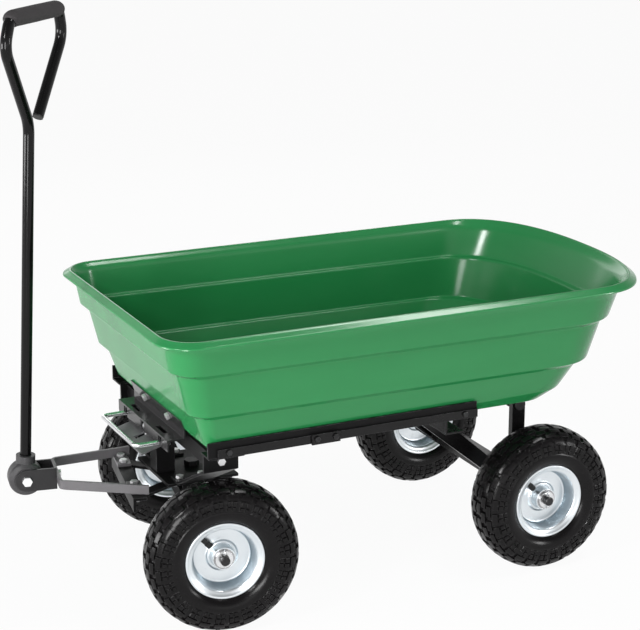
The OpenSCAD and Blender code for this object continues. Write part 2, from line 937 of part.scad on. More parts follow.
module rear_post_left() {
    rear_post(-1);
}

module rear_post_right() {
    rear_post(1);
}

strut_top = rail_z - cross_h;
strut_front = rear_cross_x - cross_w / 2;

module rear_strut(side) {
    color(black)
        cart()
            on_side(side)
                difference() {
                    across(strut_y - 22, strut_y - 2)
                        polygon([
                            [strut_front, strut_top],
                            [strut_front + cross_w, strut_top],
                            [rear_x - beam_w / 2, beam_top + 3],
                            [rear_x - beam_w / 2, beam_top - strut_h],
                            [strut_front, strut_top - strut_h / 3]]);
                    across(strut_y - 30, strut_y - 2 - rail_t)
                        polygon([
                            [strut_front + 8, strut_top - rail_t],
                            [strut_front + cross_w - 2, strut_top - rail_t],
                            [rear_x - beam_w / 2 - 8, beam_top],
                            [rear_x - beam_w / 2 - 8, beam_top - strut_h + 10],
                            [strut_front + 8, strut_top - strut_h / 3]]);
                }
}

module rear_strut_left() {
    rear_strut(-1);
}

module rear_strut_right() {
    rear_strut(1);
}

module hinge_rod() {
    reach = rear_post_y + rear_post_w / 2 + seat_gap;
    color(zinc)
        cart()
            translate([hinge_x, 0, hinge_z])
                rotate([90, 0, 0]) {
                    cylinder(h = 2 * reach + 2, d = hinge_d, center = true);
                    for (side = [0, 180])
                        rotate([side, 0, 0])
                            translate([0, 0, reach])
                                cylinder(h = 5, d = 1.7 * hinge_d);
                }
}

// Steered front axle: king pin, bracket over the beam, and the tongue in front.
bracket_l = 100;
bracket_w = 96;
steer_plate_t = 5;

module king_pin() {
    top = foot_z + seat_gap;
    low = steer_plate_z - steer_plate_t - seat_gap;
    color(zinc)
        steered() {
            translate([0, 0, low - 2])
                cylinder(h = top - low + 4, d = king_d);
            translate([0, 0, top])
                cylinder(h = 9, d = 1.7 * king_d, $fn = 6);
            translate([0, 0, low - 10])
                cylinder(h = 10, d = 1.7 * king_d, $fn = 6);
        }
}

module axle_bracket() {
    low = steer_plate_z - steer_plate_t;
    color(black)
        steered()
            difference() {
                union() {
                    translate([-bracket_l / 2, -bracket_w / 2, low])
                        cube([bracket_l, bracket_w, steer_plate_t]);
                    translate([0, 0, steer_plate_z])
                        cylinder(h = thrust_t + seat_gap, d = 2.6 * king_d);
                    for (side = [-1, 1])
                        on_side(side)
                            across(bracket_w / 2 - plate_t, bracket_w / 2)
                                polygon([
                                    [-bracket_l / 2 + brace_w, low + 1],
                                    [bracket_l / 2, low + 1],
                                    [beam_w / 2 + plate_t, beam_top - 4],
                                    [beam_w / 2 + plate_t, beam_top],
                                    [-beam_w / 2 - plate_t, beam_top],
                                    [-beam_w / 2 - plate_t, beam_top - 4]]);
                    translate([-beam_w / 2 - plate_t, -bracket_w / 2, beam_top])
                        cube([beam_w + 2 * plate_t, bracket_w, plate_t]);
                    for (x = [-beam_w / 2 - plate_t, beam_w / 2])
                        translate([x, -bracket_w / 2, beam_top - 12])
                            cube([plate_t, bracket_w, 13]);
                }
                translate([0, 0, steer_plate_z])
                    cylinder(h = 40, d = king_d + 2 * run_clear, center = true);
                brace_bolt_places()
                    bolt_hole(bolt_d);
            }
}

module front_axle_beam() {
    steered()
        axle_beam();
}

module front_axle_rod() {
    steered()
        axle_rod();
}

module front_axle_retainers() {
    steered()
        axle_retainers();
}

// Cross bar of the tongue: an angle lying on the ends of the two steering braces.
bar_flange = 24;
brace_w = 22;
brace_t = 5;
brace_rear_y = 32;
brace_front_y = 84;
brace_rear_x = bracket_l / 2 - 12;
bar_z = steer_plate_z;

module brace_bolt_places() {
    for (side = [-1, 1])
        translate([-brace_rear_x, side * brace_rear_y, steer_plate_z])
            children();
}

module bar_bolt_places() {
    for (side = [-1, 1])
        translate([-bar_x, side * brace_front_y, bar_z])
            children();
}

module tongue_cross_bar() {
    color(black)
        steered()
            difference() {
                across(-bar_half, bar_half) {
                    translate([-bar_x - bar_flange / 2, bar_z - brace_t])
                        square([bar_flange, brace_t]);
                    translate([-bar_x - bar_flange / 2, bar_z - bar_flange])
                        square([brace_t, bar_flange]);
                }
                bar_bolt_places()
                    bolt_hole(bolt_d);
                tongue_bolt_places()
                    bolt_hole(bolt_d);
            }
}

module steer_brace(side) {
    z = bar_z - brace_t;
    run = [bar_x - brace_rear_x, brace_front_y - brace_rear_y];
    color(black)
        steered()
            on_side(side)
                difference() {
                    translate([-brace_rear_x, brace_rear_y, z - brace_t])
                        rotate([0, 0, 180 - atan2(run[1], run[0])]) {
                            translate([0, -brace_w / 2, 0])
                                cube([norm(run), brace_w, brace_t]);
                            cylinder(h = brace_t, d = brace_w);
                            translate([norm(run), 0, 0])
                                cylinder(h = brace_t, d = brace_w);
                        }
                    for (p = [[-brace_rear_x, brace_rear_y], [-bar_x, brace_front_y]])
                        translate([p[0], p[1], z])
                            bolt_hole(bolt_d);
                    translate([-bar_x - bar_flange / 2 - 20, -1, z - 2 * brace_t])
                        cube([20 + brace_t + seat_gap, 200, 3 * brace_t]);
                }
}

module steer_brace_left() {
    steer_brace(-1);
}

module steer_brace_right() {
    steer_brace(1);
}

// Tongue: a standing flat bar bent to a U, with feet bolted on the cross bar.
tongue_x = pivot_x - 51;
tongue_back = bar_x - bar_flange / 2 - 4;
tongue_turn = atan2(tongue_rear - tongue_front, tongue_x - tongue_back);
tongue_bend = 10;
tongue_seat = 0.6;

module tongue_bolt_places() {
    for (side = [-1, 1])
        translate([-bar_x, side * (brace_front_y - 30), bar_z])
            children();
}

// One side of the U from the middle of its front bar to the cross bar, round one bend.
module tongue_half() {
    bend = 90 - tongue_turn;
    cut = tongue_bend * tan(bend / 2);
    leg = norm([tongue_rear - tongue_front, tongue_x - tongue_back]);
    translate([-tongue_x, -1, 0])
        cube([tongue_t, tongue_front + 0.4 * tongue_t - cut + bend_lap + 1, tongue_h]);
    translate([tongue_t / 2 - tongue_x, tongue_front + 0.4 * tongue_t, 0]) {
        translate([tongue_bend, -cut, bend_thin])
            rotate([0, 0, 180 - bend])
                rotate_extrude(angle = bend)
                    translate([tongue_bend - tongue_t / 2 + bend_thin, 0])
                        square([tongue_t - 2 * bend_thin, tongue_h - 2 * bend_thin]);
        rotate([0, 0, tongue_turn])
            translate([cut - bend_lap, tongue_t / 2, 0])
                rotate([90, 0, 0])
                    linear_extrude(tongue_t)
                        polygon([
                            [0, 0],
                            [leg - cut, tongue_seat - tongue_rise],
                            [leg - cut, tongue_seat - tongue_rise + tongue_h],
                            [0, tongue_h]]);
    }
}

module tongue_strap() {
    color(black)
        steered()
            translate([0, 0, bar_z])
                difference() {
                    for (side = [0, 1])
                        mirror([0, side, 0]) {
                            translate([0, 0, tongue_rise])
                                tongue_half();
                            linear_extrude(brace_t)
                                polygon([
                                    [-bar_x - bar_flange / 2, brace_front_y - 42],
                                    [-bar_x + bar_flange / 2, brace_front_y - 42],
                                    [-bar_x + bar_flange / 2, tongue_rear],
                                    [-bar_x - bar_flange / 2, tongue_rear - 7]]);
                        }
                    for (side = [-1, 1], y = [brace_front_y, brace_front_y - 30])
                        translate([-bar_x, side * y, 0])
                            bolt_hole(bolt_d);
                    translate([-tongue_x, 0, tongue_rise + tongue_h / 2])
                        rotate([0, 90, 0])
                            bolt_hole(bolt_d);
                }
}

module tongue_bolts() {
    color(zinc)
        steered() {
            brace_bolt_places()
                translate([0, 0, -steer_plate_t - brace_t])
                    rotate([180, 0, 0])
                        screw(bolt_d, steer_plate_t + brace_t - seat_gap);
            bar_bolt_places()
                translate([0, 0, brace_t])
                    bolt(bolt_d, 3 * brace_t);
            tongue_bolt_places()
                translate([0, 0, brace_t])
                    bolt(bolt_d, 2 * brace_t);
            translate([tongue_t - tongue_x, 0, pivot_z])
                rotate([0, 90, 0])
                    bolt(bolt_d, tongue_t + plate_t);
        }
}

// Clevis and its bolt, on which the handle turns.
cheek_in = knuckle_w / 2 + seat_gap;
cheek_out = cheek_in + plate_t;

module clevis() {
    color(black)
        steered()
            difference() {
                union() {
                    translate([-tongue_x - plate_t, -cheek_out, pivot_z - clevis_h / 2])
                        cube([plate_t, 2 * cheek_out, clevis_h]);
                    for (side = [-1, 1])
                        on_side(side)
                            across(cheek_in, cheek_out) {
                                translate([-pivot_x, pivot_z - clevis_h / 2])
                                    square([pivot_x - tongue_x, clevis_h]);
                                translate([-pivot_x, pivot_z])
                                    circle(d = clevis_h);
                            }
                }
                translate([-pivot_x, 0, pivot_z])
                    rotate([90, 0, 0])
                        cylinder(h = 4 * cheek_out, d = pivot_d + 2 * run_clear, center = true);
                translate([-tongue_x, 0, pivot_z])
                    rotate([0, 90, 0])
                        bolt_hole(bolt_d);
            }
}

module handle_bolt() {
    color(zinc)
        steered()
            translate([-pivot_x, -cheek_out - seat_gap / 2, pivot_z])
                rotate([90, 0, 0])
                    bolt(pivot_d, 2 * cheek_out + seat_gap);
}

// Handle: a round knuckle with a socket, a bent tube, its grip sleeve and an end plug.
socket_d = handle_d + 14;
socket_top = knuckle_d / 2 + 10;
socket_low = 12;

module knuckle() {
    color([0.07, 0.07, 0.075])
        on_handle()
            difference() {
                union() {
                    rotate([90, 0, 0])
                        rotate_extrude()
                            polygon([
                                [0, -knuckle_w / 2],
                                [knuckle_d / 2 - 8, -knuckle_w / 2],
                                [knuckle_d / 2 - 2, 4 - knuckle_w / 2],
                                [knuckle_d / 2, 9 - knuckle_w / 2],
                                [knuckle_d / 2, knuckle_w / 2 - 9],
                                [knuckle_d / 2 - 2, knuckle_w / 2 - 4],
                                [knuckle_d / 2 - 8, knuckle_w / 2],
                                [0, knuckle_w / 2]]);
                    cylinder(h = socket_top, d = socket_d);
                }
                rotate([90, 0, 0])
                    cylinder(h = 2 * knuckle_w, d = pivot_d + 2 * run_clear, center = true);
                translate([0, 0, socket_low])
                    cylinder(h = knuckle_d, d = handle_d + 2 * run_clear);
            }
}

loop_mid = 18;
loop_low = 8;
loop_path = [
    [0, socket_low + seat_gap],
    [0, handle_l - loop_low],
    [loop_mid - loop_w / 2, handle_l + loop_h - 45],
    [loop_mid - loop_top / 2, handle_l + loop_h],
    [loop_mid + loop_top / 2, handle_l + loop_h],
    [loop_mid + loop_w / 2, handle_l + loop_h - 45],
    [2 * loop_mid, handle_l]];
loop_bends = [0, 60, 40, 20, 20, 40, 0];
plug_l = 12;
plug_d = handle_d - 5;
loop_end = loop_path[6] - loop_path[5];

module in_loop() {
    on_handle()
        rotate([0, 0, loop_turn])
            rotate([90, 0, 0])
                children();
}

module handle_tube() {
    color(black)
        in_loop()
            difference() {
                bent_rod(loop_path, loop_bends, handle_d);
                translate(loop_path[6])
                    rotate([0, -90, atan2(loop_end[1], loop_end[0])])
                        cylinder(h = 2 * plug_l, d = plug_d + 2 * run_clear, center = true);
            }
}

module grip() {
    half = loop_top / 2 - 12;
    color([0.12, 0.12, 0.13])
        in_loop()
            translate([loop_mid, handle_l + loop_h, 0])
                rotate([0, 90, 0])
                    rotate_extrude()
                        polygon([
                            [handle_d / 2 + run_clear, -half],
                            [grip_d / 2 - 2, -half],
                            [grip_d / 2, 2 - half],
                            [grip_d / 2, half - 2],
                            [grip_d / 2 - 2, half],
                            [handle_d / 2 + run_clear, half]]);
}

module tube_plug() {
    color([0.04, 0.04, 0.04])
        in_loop()
            translate(loop_path[6])
                rotate([0, -90, atan2(loop_end[1], loop_end[0])]) {
                    cylinder(h = plug_l - 1, d = plug_d);
                    translate([0, 0, -3])
                        cylinder(h = 3, d = handle_d - 1);
                }
}

// Tyre section: half width at a radius, for a full round side wall.
section_r = (wheel_r + bead_r - 3) / 2;
section_h = wheel_r - section_r;
function side_half(r, inset) = (tyre_w / 2 - inset)
    * pow(max(0, 1 - pow(abs(r - section_r) / (section_h - inset), 2.6)), 1 / 2.6);
function section(inset, from, to, n) = [for (i = [0 : n])
    let (r = from + (to - from) * (1 - pow(1 - i / n, 2)))
    [r, side_half(r, inset)]];
function both_sides(p) = concat(p, [for (i = [len(p) - 1 : -1 : 0]) [p[i][0], -p[i][1]]]);

bead_in = bead_r + 2 + seat_gap;
bead_half = rim_w / 2 - rim_sheet - 0.5;
well_half = well_w / 2;

// Tyre: a hollow carcass with a middle groove and two rows of staggered lugs.
module tyre() {
    neck = [bead_r + flange_h + 0.8, rim_w / 2 - 0.7];
    outer = concat([neck], section(0, bead_in + 6, wheel_r, 12));
    inner = section(tyre_wall, bead_in + tyre_wall, wheel_r - tyre_wall, 8);
    color(rubber)
        difference() {
            rotate_extrude($fn = 96)
                difference() {
                    polygon(both_sides(concat([[bead_in, bead_half - 8], [bead_in, bead_half]], outer)));
                    polygon(both_sides(concat([[bead_in - 1, 14], [bead_in + 2, 14]], inner)));
                    for (side = [-1, 1])
                        translate([wheel_r - tread_depth, side * tyre_w / 4.6 - 2])
                            square([tread_depth + 1, 4]);
                }
            for (side = [-1, 1], i = [0 : lug_count - 1])
                rotate([0, 0, (i + (side > 0 ? 0.5 : 0)) * 360 / lug_count])
                    translate([wheel_r - 2 * tread_depth, -lug_gap / 2, side > 0 ? tyre_w / 4.6 : -tyre_w])
                        cube([30, lug_gap, tyre_w - tyre_w / 4.6]);
        }
}

// Rim: a drop-centre barrel and a flat disc welded to the hub tube.
module rim() {
    edge = rim_w / 2;
    color(zinc)
        difference() {
            union() {
                rotate_extrude($fn = 96)
                    polygon([
                        [bead_r + flange_h, edge],
                        [bead_r + 1.5, edge - rim_sheet],
                        [bead_r, well_half + 3],
                        [well_r, well_half - 2],
                        [well_r, 2 - well_half],
                        [bead_r, -well_half - 3],
                        [bead_r + 1.5, rim_sheet - edge],
                        [bead_r + flange_h, -edge],
                        [bead_r + flange_h, -edge - rim_sheet],
                        [bead_r - 1, -edge - rim_sheet + 0.5],
                        [bead_r - rim_sheet, -well_half - 4],
                        [well_r - rim_sheet, 1 - well_half],
                        [well_r - rim_sheet, well_half - 1],
                        [bead_r - rim_sheet, well_half + 4],
                        [bead_r - 1, edge + rim_sheet - 0.5],
                        [bead_r + flange_h, edge + rim_sheet]]);
                rotate_extrude($fn = 96)
                    polygon([
                        [hub_d / 2 - 1, -8],
                        [hub_d / 2 + 6, -8],
                        [hub_d / 2 + 12, -3],
                        [well_r - 1, -3],
                        [well_r - 1, 3],
                        [hub_d / 2 + 12, 3],
                        [hub_d / 2 + 6, 8],
                        [hub_d / 2 - 1, 8]]);
                cylinder(h = hub_l, d = hub_d, center = true);
            }
            cylinder(h = 2 * hub_l, d = bearing_d - 6, center = true);
            for (side = [0, 180])
                rotate([side, 0, 0])
                    translate([0, 0, hub_half - bearing_w])
                        cylinder(h = bearing_w + 1, d = bearing_d + 2 * run_clear);
            rotate([0, 0, valve_turn])
                translate([well_r, 0, valve_z])
                    rotate([0, 90, 0])
                        cylinder(h = 24, d = valve_d + 2 * bolt_clear, center = true);
        }
}

valve_z = 10;

module bearings() {
    color(zinc)
        for (side = [0, 180])
            rotate([side, 0, 0])
                translate([0, 0, hub_half - bearing_w])
                    rotate_extrude()
                        difference() {
                            translate([axle_d / 2 + run_clear, 0])
                                square([bearing_d / 2 - axle_d / 2 - run_clear, bearing_w]);
                            translate([bearing_d / 4 + axle_d / 4 - 2, bearing_w - 1])
                                square([4, 2]);
                        }
}

// Inner tube: a thin ring inside the tyre, with its valve stem through the rim well.
module inner_tube() {
    t = tyre_wall + 2.2;
    outer = section(t, bead_in + tyre_wall + 3, wheel_r - t, 8);
    bore = section(t + tube_wall, bead_in + tyre_wall + 3 + tube_wall, wheel_r - t - tube_wall, 8);
    color(rubber)
        difference() {
            union() {
                rotate_extrude($fn = 96)
                    difference() {
                        polygon(both_sides(outer));
                        polygon(both_sides(bore));
                    }
                rotate([0, 0, valve_turn])
                    translate([well_r - valve_l, 0, valve_z])
                        rotate([0, 90, 0]) {
                            cylinder(h = valve_l + 25, d = valve_d);
                            cylinder(h = 9, d = valve_d + 1.6);
                        }
            }
            rotate([0, 0, valve_turn])
                translate([well_r - valve_l + 3, 0, valve_z])
                    rotate([0, 90, 0])
                        cylinder(h = valve_l + 30, d = 2.5);
        }
}

module tyre_front_left() {
    front_wheel(-1)
        tyre();
}

module rim_front_left() {
    front_wheel(-1)
        rim();
}

module bearings_front_left() {
    front_wheel(-1)
        bearings();
}

module inner_tube_front_left() {
    front_wheel(-1)
        inner_tube();
}

module tyre_front_right() {
    front_wheel(1)
        tyre();
}

module rim_front_right() {
    front_wheel(1)
        rim();
}

module bearings_front_right() {
    front_wheel(1)
        bearings();
}

module inner_tube_front_right() {
    front_wheel(1)
        inner_tube();
}

module tyre_rear_left() {
    rear_wheel(-1)
        tyre();
}

module rim_rear_left() {
    rear_wheel(-1)
        rim();
}

module bearings_rear_left() {
    rear_wheel(-1)
        bearings();
}

module inner_tube_rear_left() {
    rear_wheel(-1)
        inner_tube();
}

module tyre_rear_right() {
    rear_wheel(1)
        tyre();
}

module rim_rear_right() {
    rear_wheel(1)
        rim();
}

module bearings_rear_right() {
    rear_wheel(1)
        bearings();
}

module inner_tube_rear_right() {
    rear_wheel(1)
        inner_tube();
}

tray();
tray_front_bracket();
tray_hinge_bracket();
tray_bolts();
latch_bail();
latch_hook();
rail_left();
rail_right();
side_strap_left();
side_strap_right();
splice_plates();
strap_bolts();
front_cross_member();
rear_cross_member();
front_leg_left();
front_leg_right();
leg_bolts();
pivot_plate_front();
front_post();
latch_plate();
rear_axle_beam();
rear_axle_rod();
rear_post_left();
rear_post_right();
rear_strut_left();
rear_strut_right();
hinge_rod();
rear_axle_retainers();
king_pin();
axle_bracket();
front_axle_beam();
front_axle_rod();
front_axle_retainers();
tongue_cross_bar();
steer_brace_left();
steer_brace_right();
tongue_strap();
tongue_bolts();
clevis();
handle_bolt();
knuckle();
handle_tube();
grip();
tube_plug();
tyre_front_left();
rim_front_left();
bearings_front_left();
inner_tube_front_left();
tyre_front_right();
rim_front_right();
bearings_front_right();
inner_tube_front_right();
tyre_rear_left();
rim_rear_left();
bearings_rear_left();
inner_tube_rear_left();
tyre_rear_right();
rim_rear_right();
bearings_rear_right();
inner_tube_rear_right();
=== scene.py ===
# Tipping dump cart: a moulded tray hinged on a steel chassis, with a steered front axle and a pull handle.
import json

import bpy
import numpy as np
from mathutils import Matrix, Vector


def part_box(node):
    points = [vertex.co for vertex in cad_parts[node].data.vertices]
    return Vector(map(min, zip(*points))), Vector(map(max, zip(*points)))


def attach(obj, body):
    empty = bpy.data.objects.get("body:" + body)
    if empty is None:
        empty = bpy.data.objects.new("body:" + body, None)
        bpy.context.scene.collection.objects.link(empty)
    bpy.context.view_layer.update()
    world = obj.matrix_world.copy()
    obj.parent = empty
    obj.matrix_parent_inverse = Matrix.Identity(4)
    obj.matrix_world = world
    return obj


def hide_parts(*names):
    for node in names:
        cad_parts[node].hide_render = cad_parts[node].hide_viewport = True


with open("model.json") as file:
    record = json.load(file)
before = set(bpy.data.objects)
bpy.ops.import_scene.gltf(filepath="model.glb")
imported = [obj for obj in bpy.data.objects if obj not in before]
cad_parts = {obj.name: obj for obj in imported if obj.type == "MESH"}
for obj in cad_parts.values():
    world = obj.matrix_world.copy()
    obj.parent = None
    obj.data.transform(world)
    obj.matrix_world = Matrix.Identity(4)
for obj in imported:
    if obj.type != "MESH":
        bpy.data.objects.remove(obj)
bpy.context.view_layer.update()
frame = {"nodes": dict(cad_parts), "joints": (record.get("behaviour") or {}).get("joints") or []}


# Chassis: rails, straps, cross members, legs and posts of folded and flat steel, bolted together.
# Everything is powder coated black; the coat has a faint orange peel and is rubbed thin on corners.
CHASSIS_STEEL = (
    "side_strap_left", "side_strap_right", "splice_plates", "rear_cross_member", "rear_axle_beam",
    "rear_post_left", "rear_post_right", "rear_strut_left", "rear_strut_right")
RAIL_STEEL = (
    "rail_left", "rail_right", "front_cross_member", "front_leg_left", "front_leg_right",
    "pivot_plate_front", "front_post")


def shader_group(name, inputs, outputs):
    """An empty group: inputs are (label, socket kind, value), outputs are (label, socket kind)."""
    group = bpy.data.node_groups.new(name, "ShaderNodeTree")
    for label, kind, value in inputs:
        group.interface.new_socket(label, in_out="INPUT", socket_type=kind).default_value = value
    for label, kind in outputs:
        group.interface.new_socket(label, in_out="OUTPUT", socket_type=kind)
    return group, group.nodes.new("NodeGroupInput"), group.nodes.new("NodeGroupOutput")


def placed(tree, kind, links=(), **values):
    """A node of a kind, with its plain socket values set and (socket, source) links made."""
    made = tree.nodes.new(kind)
    for label, value in values.items():
        made.inputs[label.replace("_", " ")].default_value = value
    for socket, source in links:
        tree.links.new(source, made.inputs[socket])
    return made


def math_of(tree, operation, first, second):
    """One Math node on a linked value and a linked or plain second value."""
    made = tree.nodes.new("ShaderNodeMath")
    made.operation = operation
    tree.links.new(first, made.inputs[0])
    if isinstance(second, (int, float)):
        made.inputs[1].default_value = second
    else:
        tree.links.new(second, made.inputs[1])
    return made.outputs[0]


def ranged(tree, value, low, high, to_low, to_high):
    """A value taken from low..high to to_low..to_high, held at both ends."""
    made = placed(tree, "ShaderNodeMapRange", [("Value", value)])
    for label, number in (("From Min", low), ("From Max", high), ("To Min", to_low), ("To Max", to_high)):
        made.inputs[label].default_value = number
    return made.outputs["Result"]


def tinted(tree, share, first, second):
    """A colour between two, each a plain colour or a linked one, by a linked share."""
    made = tree.nodes.new("ShaderNodeMix")
    made.data_type = "RGBA"
    tree.links.new(share, made.inputs["Factor"])
    # Sockets 6 and 7 and output 2 are a Mix node's colours.
    for socket, colour in ((made.inputs[6], first), (made.inputs[7], second)):
        if isinstance(colour, tuple):
            socket.default_value = (*colour, 1.0)
        else:
            tree.links.new(colour, socket)
    return made.outputs[2]


FLECKS_FINER, FLECK_SPAN = 9.0, (0.60, 0.72)


def grain_group():
    """Three noises on the object's own coordinates: a fine tooth, a broad drift and rare flecks."""
    group, given, put = shader_group(
        "surface_grain",
        [("Fine", "NodeSocketFloat", 900.0), ("Broad", "NodeSocketFloat", 14.0),
         ("Stretch", "NodeSocketVector", (1.0, 1.0, 1.0))],
        [("Tooth", "NodeSocketFloat"), ("Drift", "NodeSocketFloat"), ("Fleck", "NodeSocketFloat")])
    where = group.nodes.new("ShaderNodeTexCoord").outputs["Object"]
    pulled = group.nodes.new("ShaderNodeVectorMath")
    pulled.operation = "MULTIPLY"
    group.links.new(where, pulled.inputs[0])
    group.links.new(given.outputs["Stretch"], pulled.inputs[1])
    tooth = placed(group, "ShaderNodeTexNoise",
                   [("Vector", where), ("Scale", given.outputs["Fine"])], Detail=3.0, Roughness=0.55)
    drift = placed(group, "ShaderNodeTexNoise",
                   [("Vector", pulled.outputs[0]), ("Scale", given.outputs["Broad"])],
                   Detail=5.0, Roughness=0.6)
    fleck = placed(group, "ShaderNodeTexNoise",
                   [("Vector", pulled.outputs[0]),
                    ("Scale", math_of(group, "MULTIPLY", given.outputs["Broad"], FLECKS_FINER))],
                   Detail=4.0, Roughness=0.7)
    group.links.new(tooth.outputs["Fac"], put.inputs["Tooth"])
    group.links.new(drift.outputs["Fac"], put.inputs["Drift"])
    group.links.new(ranged(group, fleck.outputs["Fac"], *FLECK_SPAN, 0.0, 1.0), put.inputs["Fleck"])
    return group


EDGE_SPAN, PATCH_SPAN = (0.80, 0.99), (0.42, 0.62)


def edge_group():
    """A mask of edges, for rubbed wear and for the tray's painted fold highlight: where a rounded normal
    leaves the face's own, broken up by noise.
    """
    group, given, put = shader_group(
        "edge_mask_group",
        [("Radius", "NodeSocketFloat", 0.002), ("Patches", "NodeSocketFloat", 60.0)],
        [("Mask", "NodeSocketFloat")])
    rounded = placed(group, "ShaderNodeBevel", [("Radius", given.outputs["Radius"])])
    rounded.samples = 6
    own = group.nodes.new("ShaderNodeNewGeometry")
    lean = group.nodes.new("ShaderNodeVectorMath")
    lean.operation = "DOT_PRODUCT"
    group.links.new(rounded.outputs["Normal"], lean.inputs[0])
    group.links.new(own.outputs["Normal"], lean.inputs[1])
    edge = ranged(group, lean.outputs["Value"], *EDGE_SPAN, 1.0, 0.0)
    where = group.nodes.new("ShaderNodeTexCoord").outputs["Object"]
    patch = placed(group, "ShaderNodeTexNoise",
                   [("Vector", where), ("Scale", given.outputs["Patches"])], Detail=6.0, Roughness=0.7)
    broken = ranged(group, patch.outputs["Fac"], *PATCH_SPAN, 0.0, 1.0)
    group.links.new(math_of(group, "MULTIPLY", edge, broken), put.inputs["Mask"])
    return group


GRAIN = grain_group()
EDGES = edge_group()


def used(tree, group, **values):
    """A group placed in a material with this material's own values."""
    made = tree.nodes.new("ShaderNodeGroup")
    made.node_tree = group
    for label, value in values.items():
        made.inputs[label].default_value = value
    return made


def finish_of(name, metal=0.0):
    """A new material, its node tree and its Principled shader."""
    made = bpy.data.materials.new(name)
    made.use_nodes = True
    shader = made.node_tree.nodes["Principled BSDF"]
    shader.inputs["Metallic"].default_value = metal
    return made, made.node_tree, shader


def felt_surface(tree, shader, height, depth, strength, edge_radius):
    """Normal of a finish: its bump over edges that are rounded by a small radius."""
    rounded = placed(tree, "ShaderNodeBevel", Radius=edge_radius)
    rounded.samples = 4
    bump = placed(tree, "ShaderNodeBump", [("Height", height), ("Normal", rounded.outputs["Normal"])],
                  Distance=depth, Strength=strength)
    tree.links.new(bump.outputs["Normal"], shader.inputs["Normal"])


NOISE_SPAN = (0.3, 0.7)


def uneven_gloss(tree, shader, noise, smooth, rough):
    """Roughness of a finish: from smooth to rough over the span that a noise mostly keeps to."""
    tree.links.new(ranged(tree, noise, *NOISE_SPAN, smooth, rough), shader.inputs["Roughness"])


def toned(colour, tone):
    """A plain colour made darker or paler by one factor."""
    return tuple(tone * part for part in colour)


COAT_DARK, COAT_PALE, BARE_STEEL = (0.004, 0.0038, 0.0041), (0.009, 0.0086, 0.009), (0.24, 0.24, 0.25)


def powder_coat(name, smooth, rough, sheen, tone, peel=0.10, rubbed=0.30):
    """Black coat: two near blacks by drift, grey steel where edges are rubbed, orange-peel bump."""
    made, tree, shader = finish_of(name)
    grain = used(tree, GRAIN, Fine=650.0, Broad=9.0)
    edge_mask = used(tree, EDGES, Radius=0.0016, Patches=45.0)
    black = tinted(tree, grain.outputs["Drift"], toned(COAT_DARK, tone), toned(COAT_PALE, tone))
    worn = math_of(tree, "MULTIPLY", edge_mask.outputs["Mask"], rubbed)
    tree.links.new(tinted(tree, worn, black, BARE_STEEL), shader.inputs["Base Color"])
    uneven_gloss(tree, shader, grain.outputs["Drift"], smooth, rough)
    shader.inputs["Specular IOR Level"].default_value = sheen
    felt_surface(tree, shader, grain.outputs["Tooth"], depth=0.0005, strength=peel, edge_radius=0.0009)
    return made


POWDER_COAT = powder_coat("black_powder_coat", smooth=0.17, rough=0.30, sheen=0.26, tone=1.0)
RAIL_COAT = powder_coat("black_rail_coat", smooth=0.36, rough=0.52, sheen=0.12, tone=1.0, rubbed=0.55)


def dressed(names, finish):
    """The named nodes of the frame, each with every material slot set to one finish."""
    for name in names:
        piece = frame["nodes"][name]
        if not piece.material_slots:
            piece.data.materials.append(finish)
        for place in piece.material_slots:
            place.material = finish


dressed(CHASSIS_STEEL, POWDER_COAT)
dressed(RAIL_STEEL, RAIL_COAT)


# Bright steel: washers and cotters on the axles, the wire bail with its hook, and the bolts. All of it is
# zinc plated, with a fine spangle, duller patches and a greyer tone where it is rubbed. The bolts are
# more matt and painted paler, a painted highlight for the bright glints on their heads.
BRIGHT_STEEL = ("rear_axle_retainers", "front_axle_retainers", "latch_bail", "latch_hook")
BRIGHT_BOLTS = ("leg_bolts", "tray_bolts", "tongue_bolts", "handle_bolt")
DULL_SPAN = (0.35, 0.68)
STAIN_TONE, STAIN_SHARE, RUBBED_SHARE, RUBBED_ZINC = 0.55, 0.22, 0.4, (0.50, 0.49, 0.47)


def plating(name, pale, dull, smooth, rough, fine, broad, dent):
    """Plated metal: pale to dull by drift, dark flecks, roughness by drift, a small tooth as bump."""
    made, tree, shader = finish_of(name, metal=1.0)
    grain = used(tree, GRAIN, Fine=fine, Broad=broad)
    edge_mask = used(tree, EDGES, Radius=0.0012, Patches=90.0)
    metal = tinted(tree, ranged(tree, grain.outputs["Drift"], *DULL_SPAN, 0.0, 1.0), pale, dull)
    stained = math_of(tree, "MULTIPLY", grain.outputs["Fleck"], STAIN_SHARE)
    marked = tinted(tree, stained, metal, toned(dull, STAIN_TONE))
    rubbed = math_of(tree, "MULTIPLY", edge_mask.outputs["Mask"], RUBBED_SHARE)
    tree.links.new(tinted(tree, rubbed, marked, RUBBED_ZINC), shader.inputs["Base Color"])
    uneven_gloss(tree, shader, grain.outputs["Drift"], smooth, rough)
    felt_surface(tree, shader, grain.outputs["Tooth"], depth=0.0003, strength=dent, edge_radius=0.0006)
    return made


BRIGHT_ZINC = plating("bright_zinc", pale=(0.84, 0.845, 0.86), dull=(0.68, 0.69, 0.70),
                      smooth=0.20, rough=0.34, fine=1200.0, broad=40.0, dent=0.10)
# Paler zinc for the bolts: a painted highlight.
PALE_GLINT_ZINC = plating("pale_glint_zinc", pale=(0.93, 0.93, 0.94), dull=(0.80, 0.80, 0.81),
                       smooth=0.40, rough=0.54, fine=1200.0, broad=60.0, dent=0.2)
dressed(BRIGHT_STEEL, BRIGHT_ZINC)
dressed(BRIGHT_BOLTS, PALE_GLINT_ZINC)
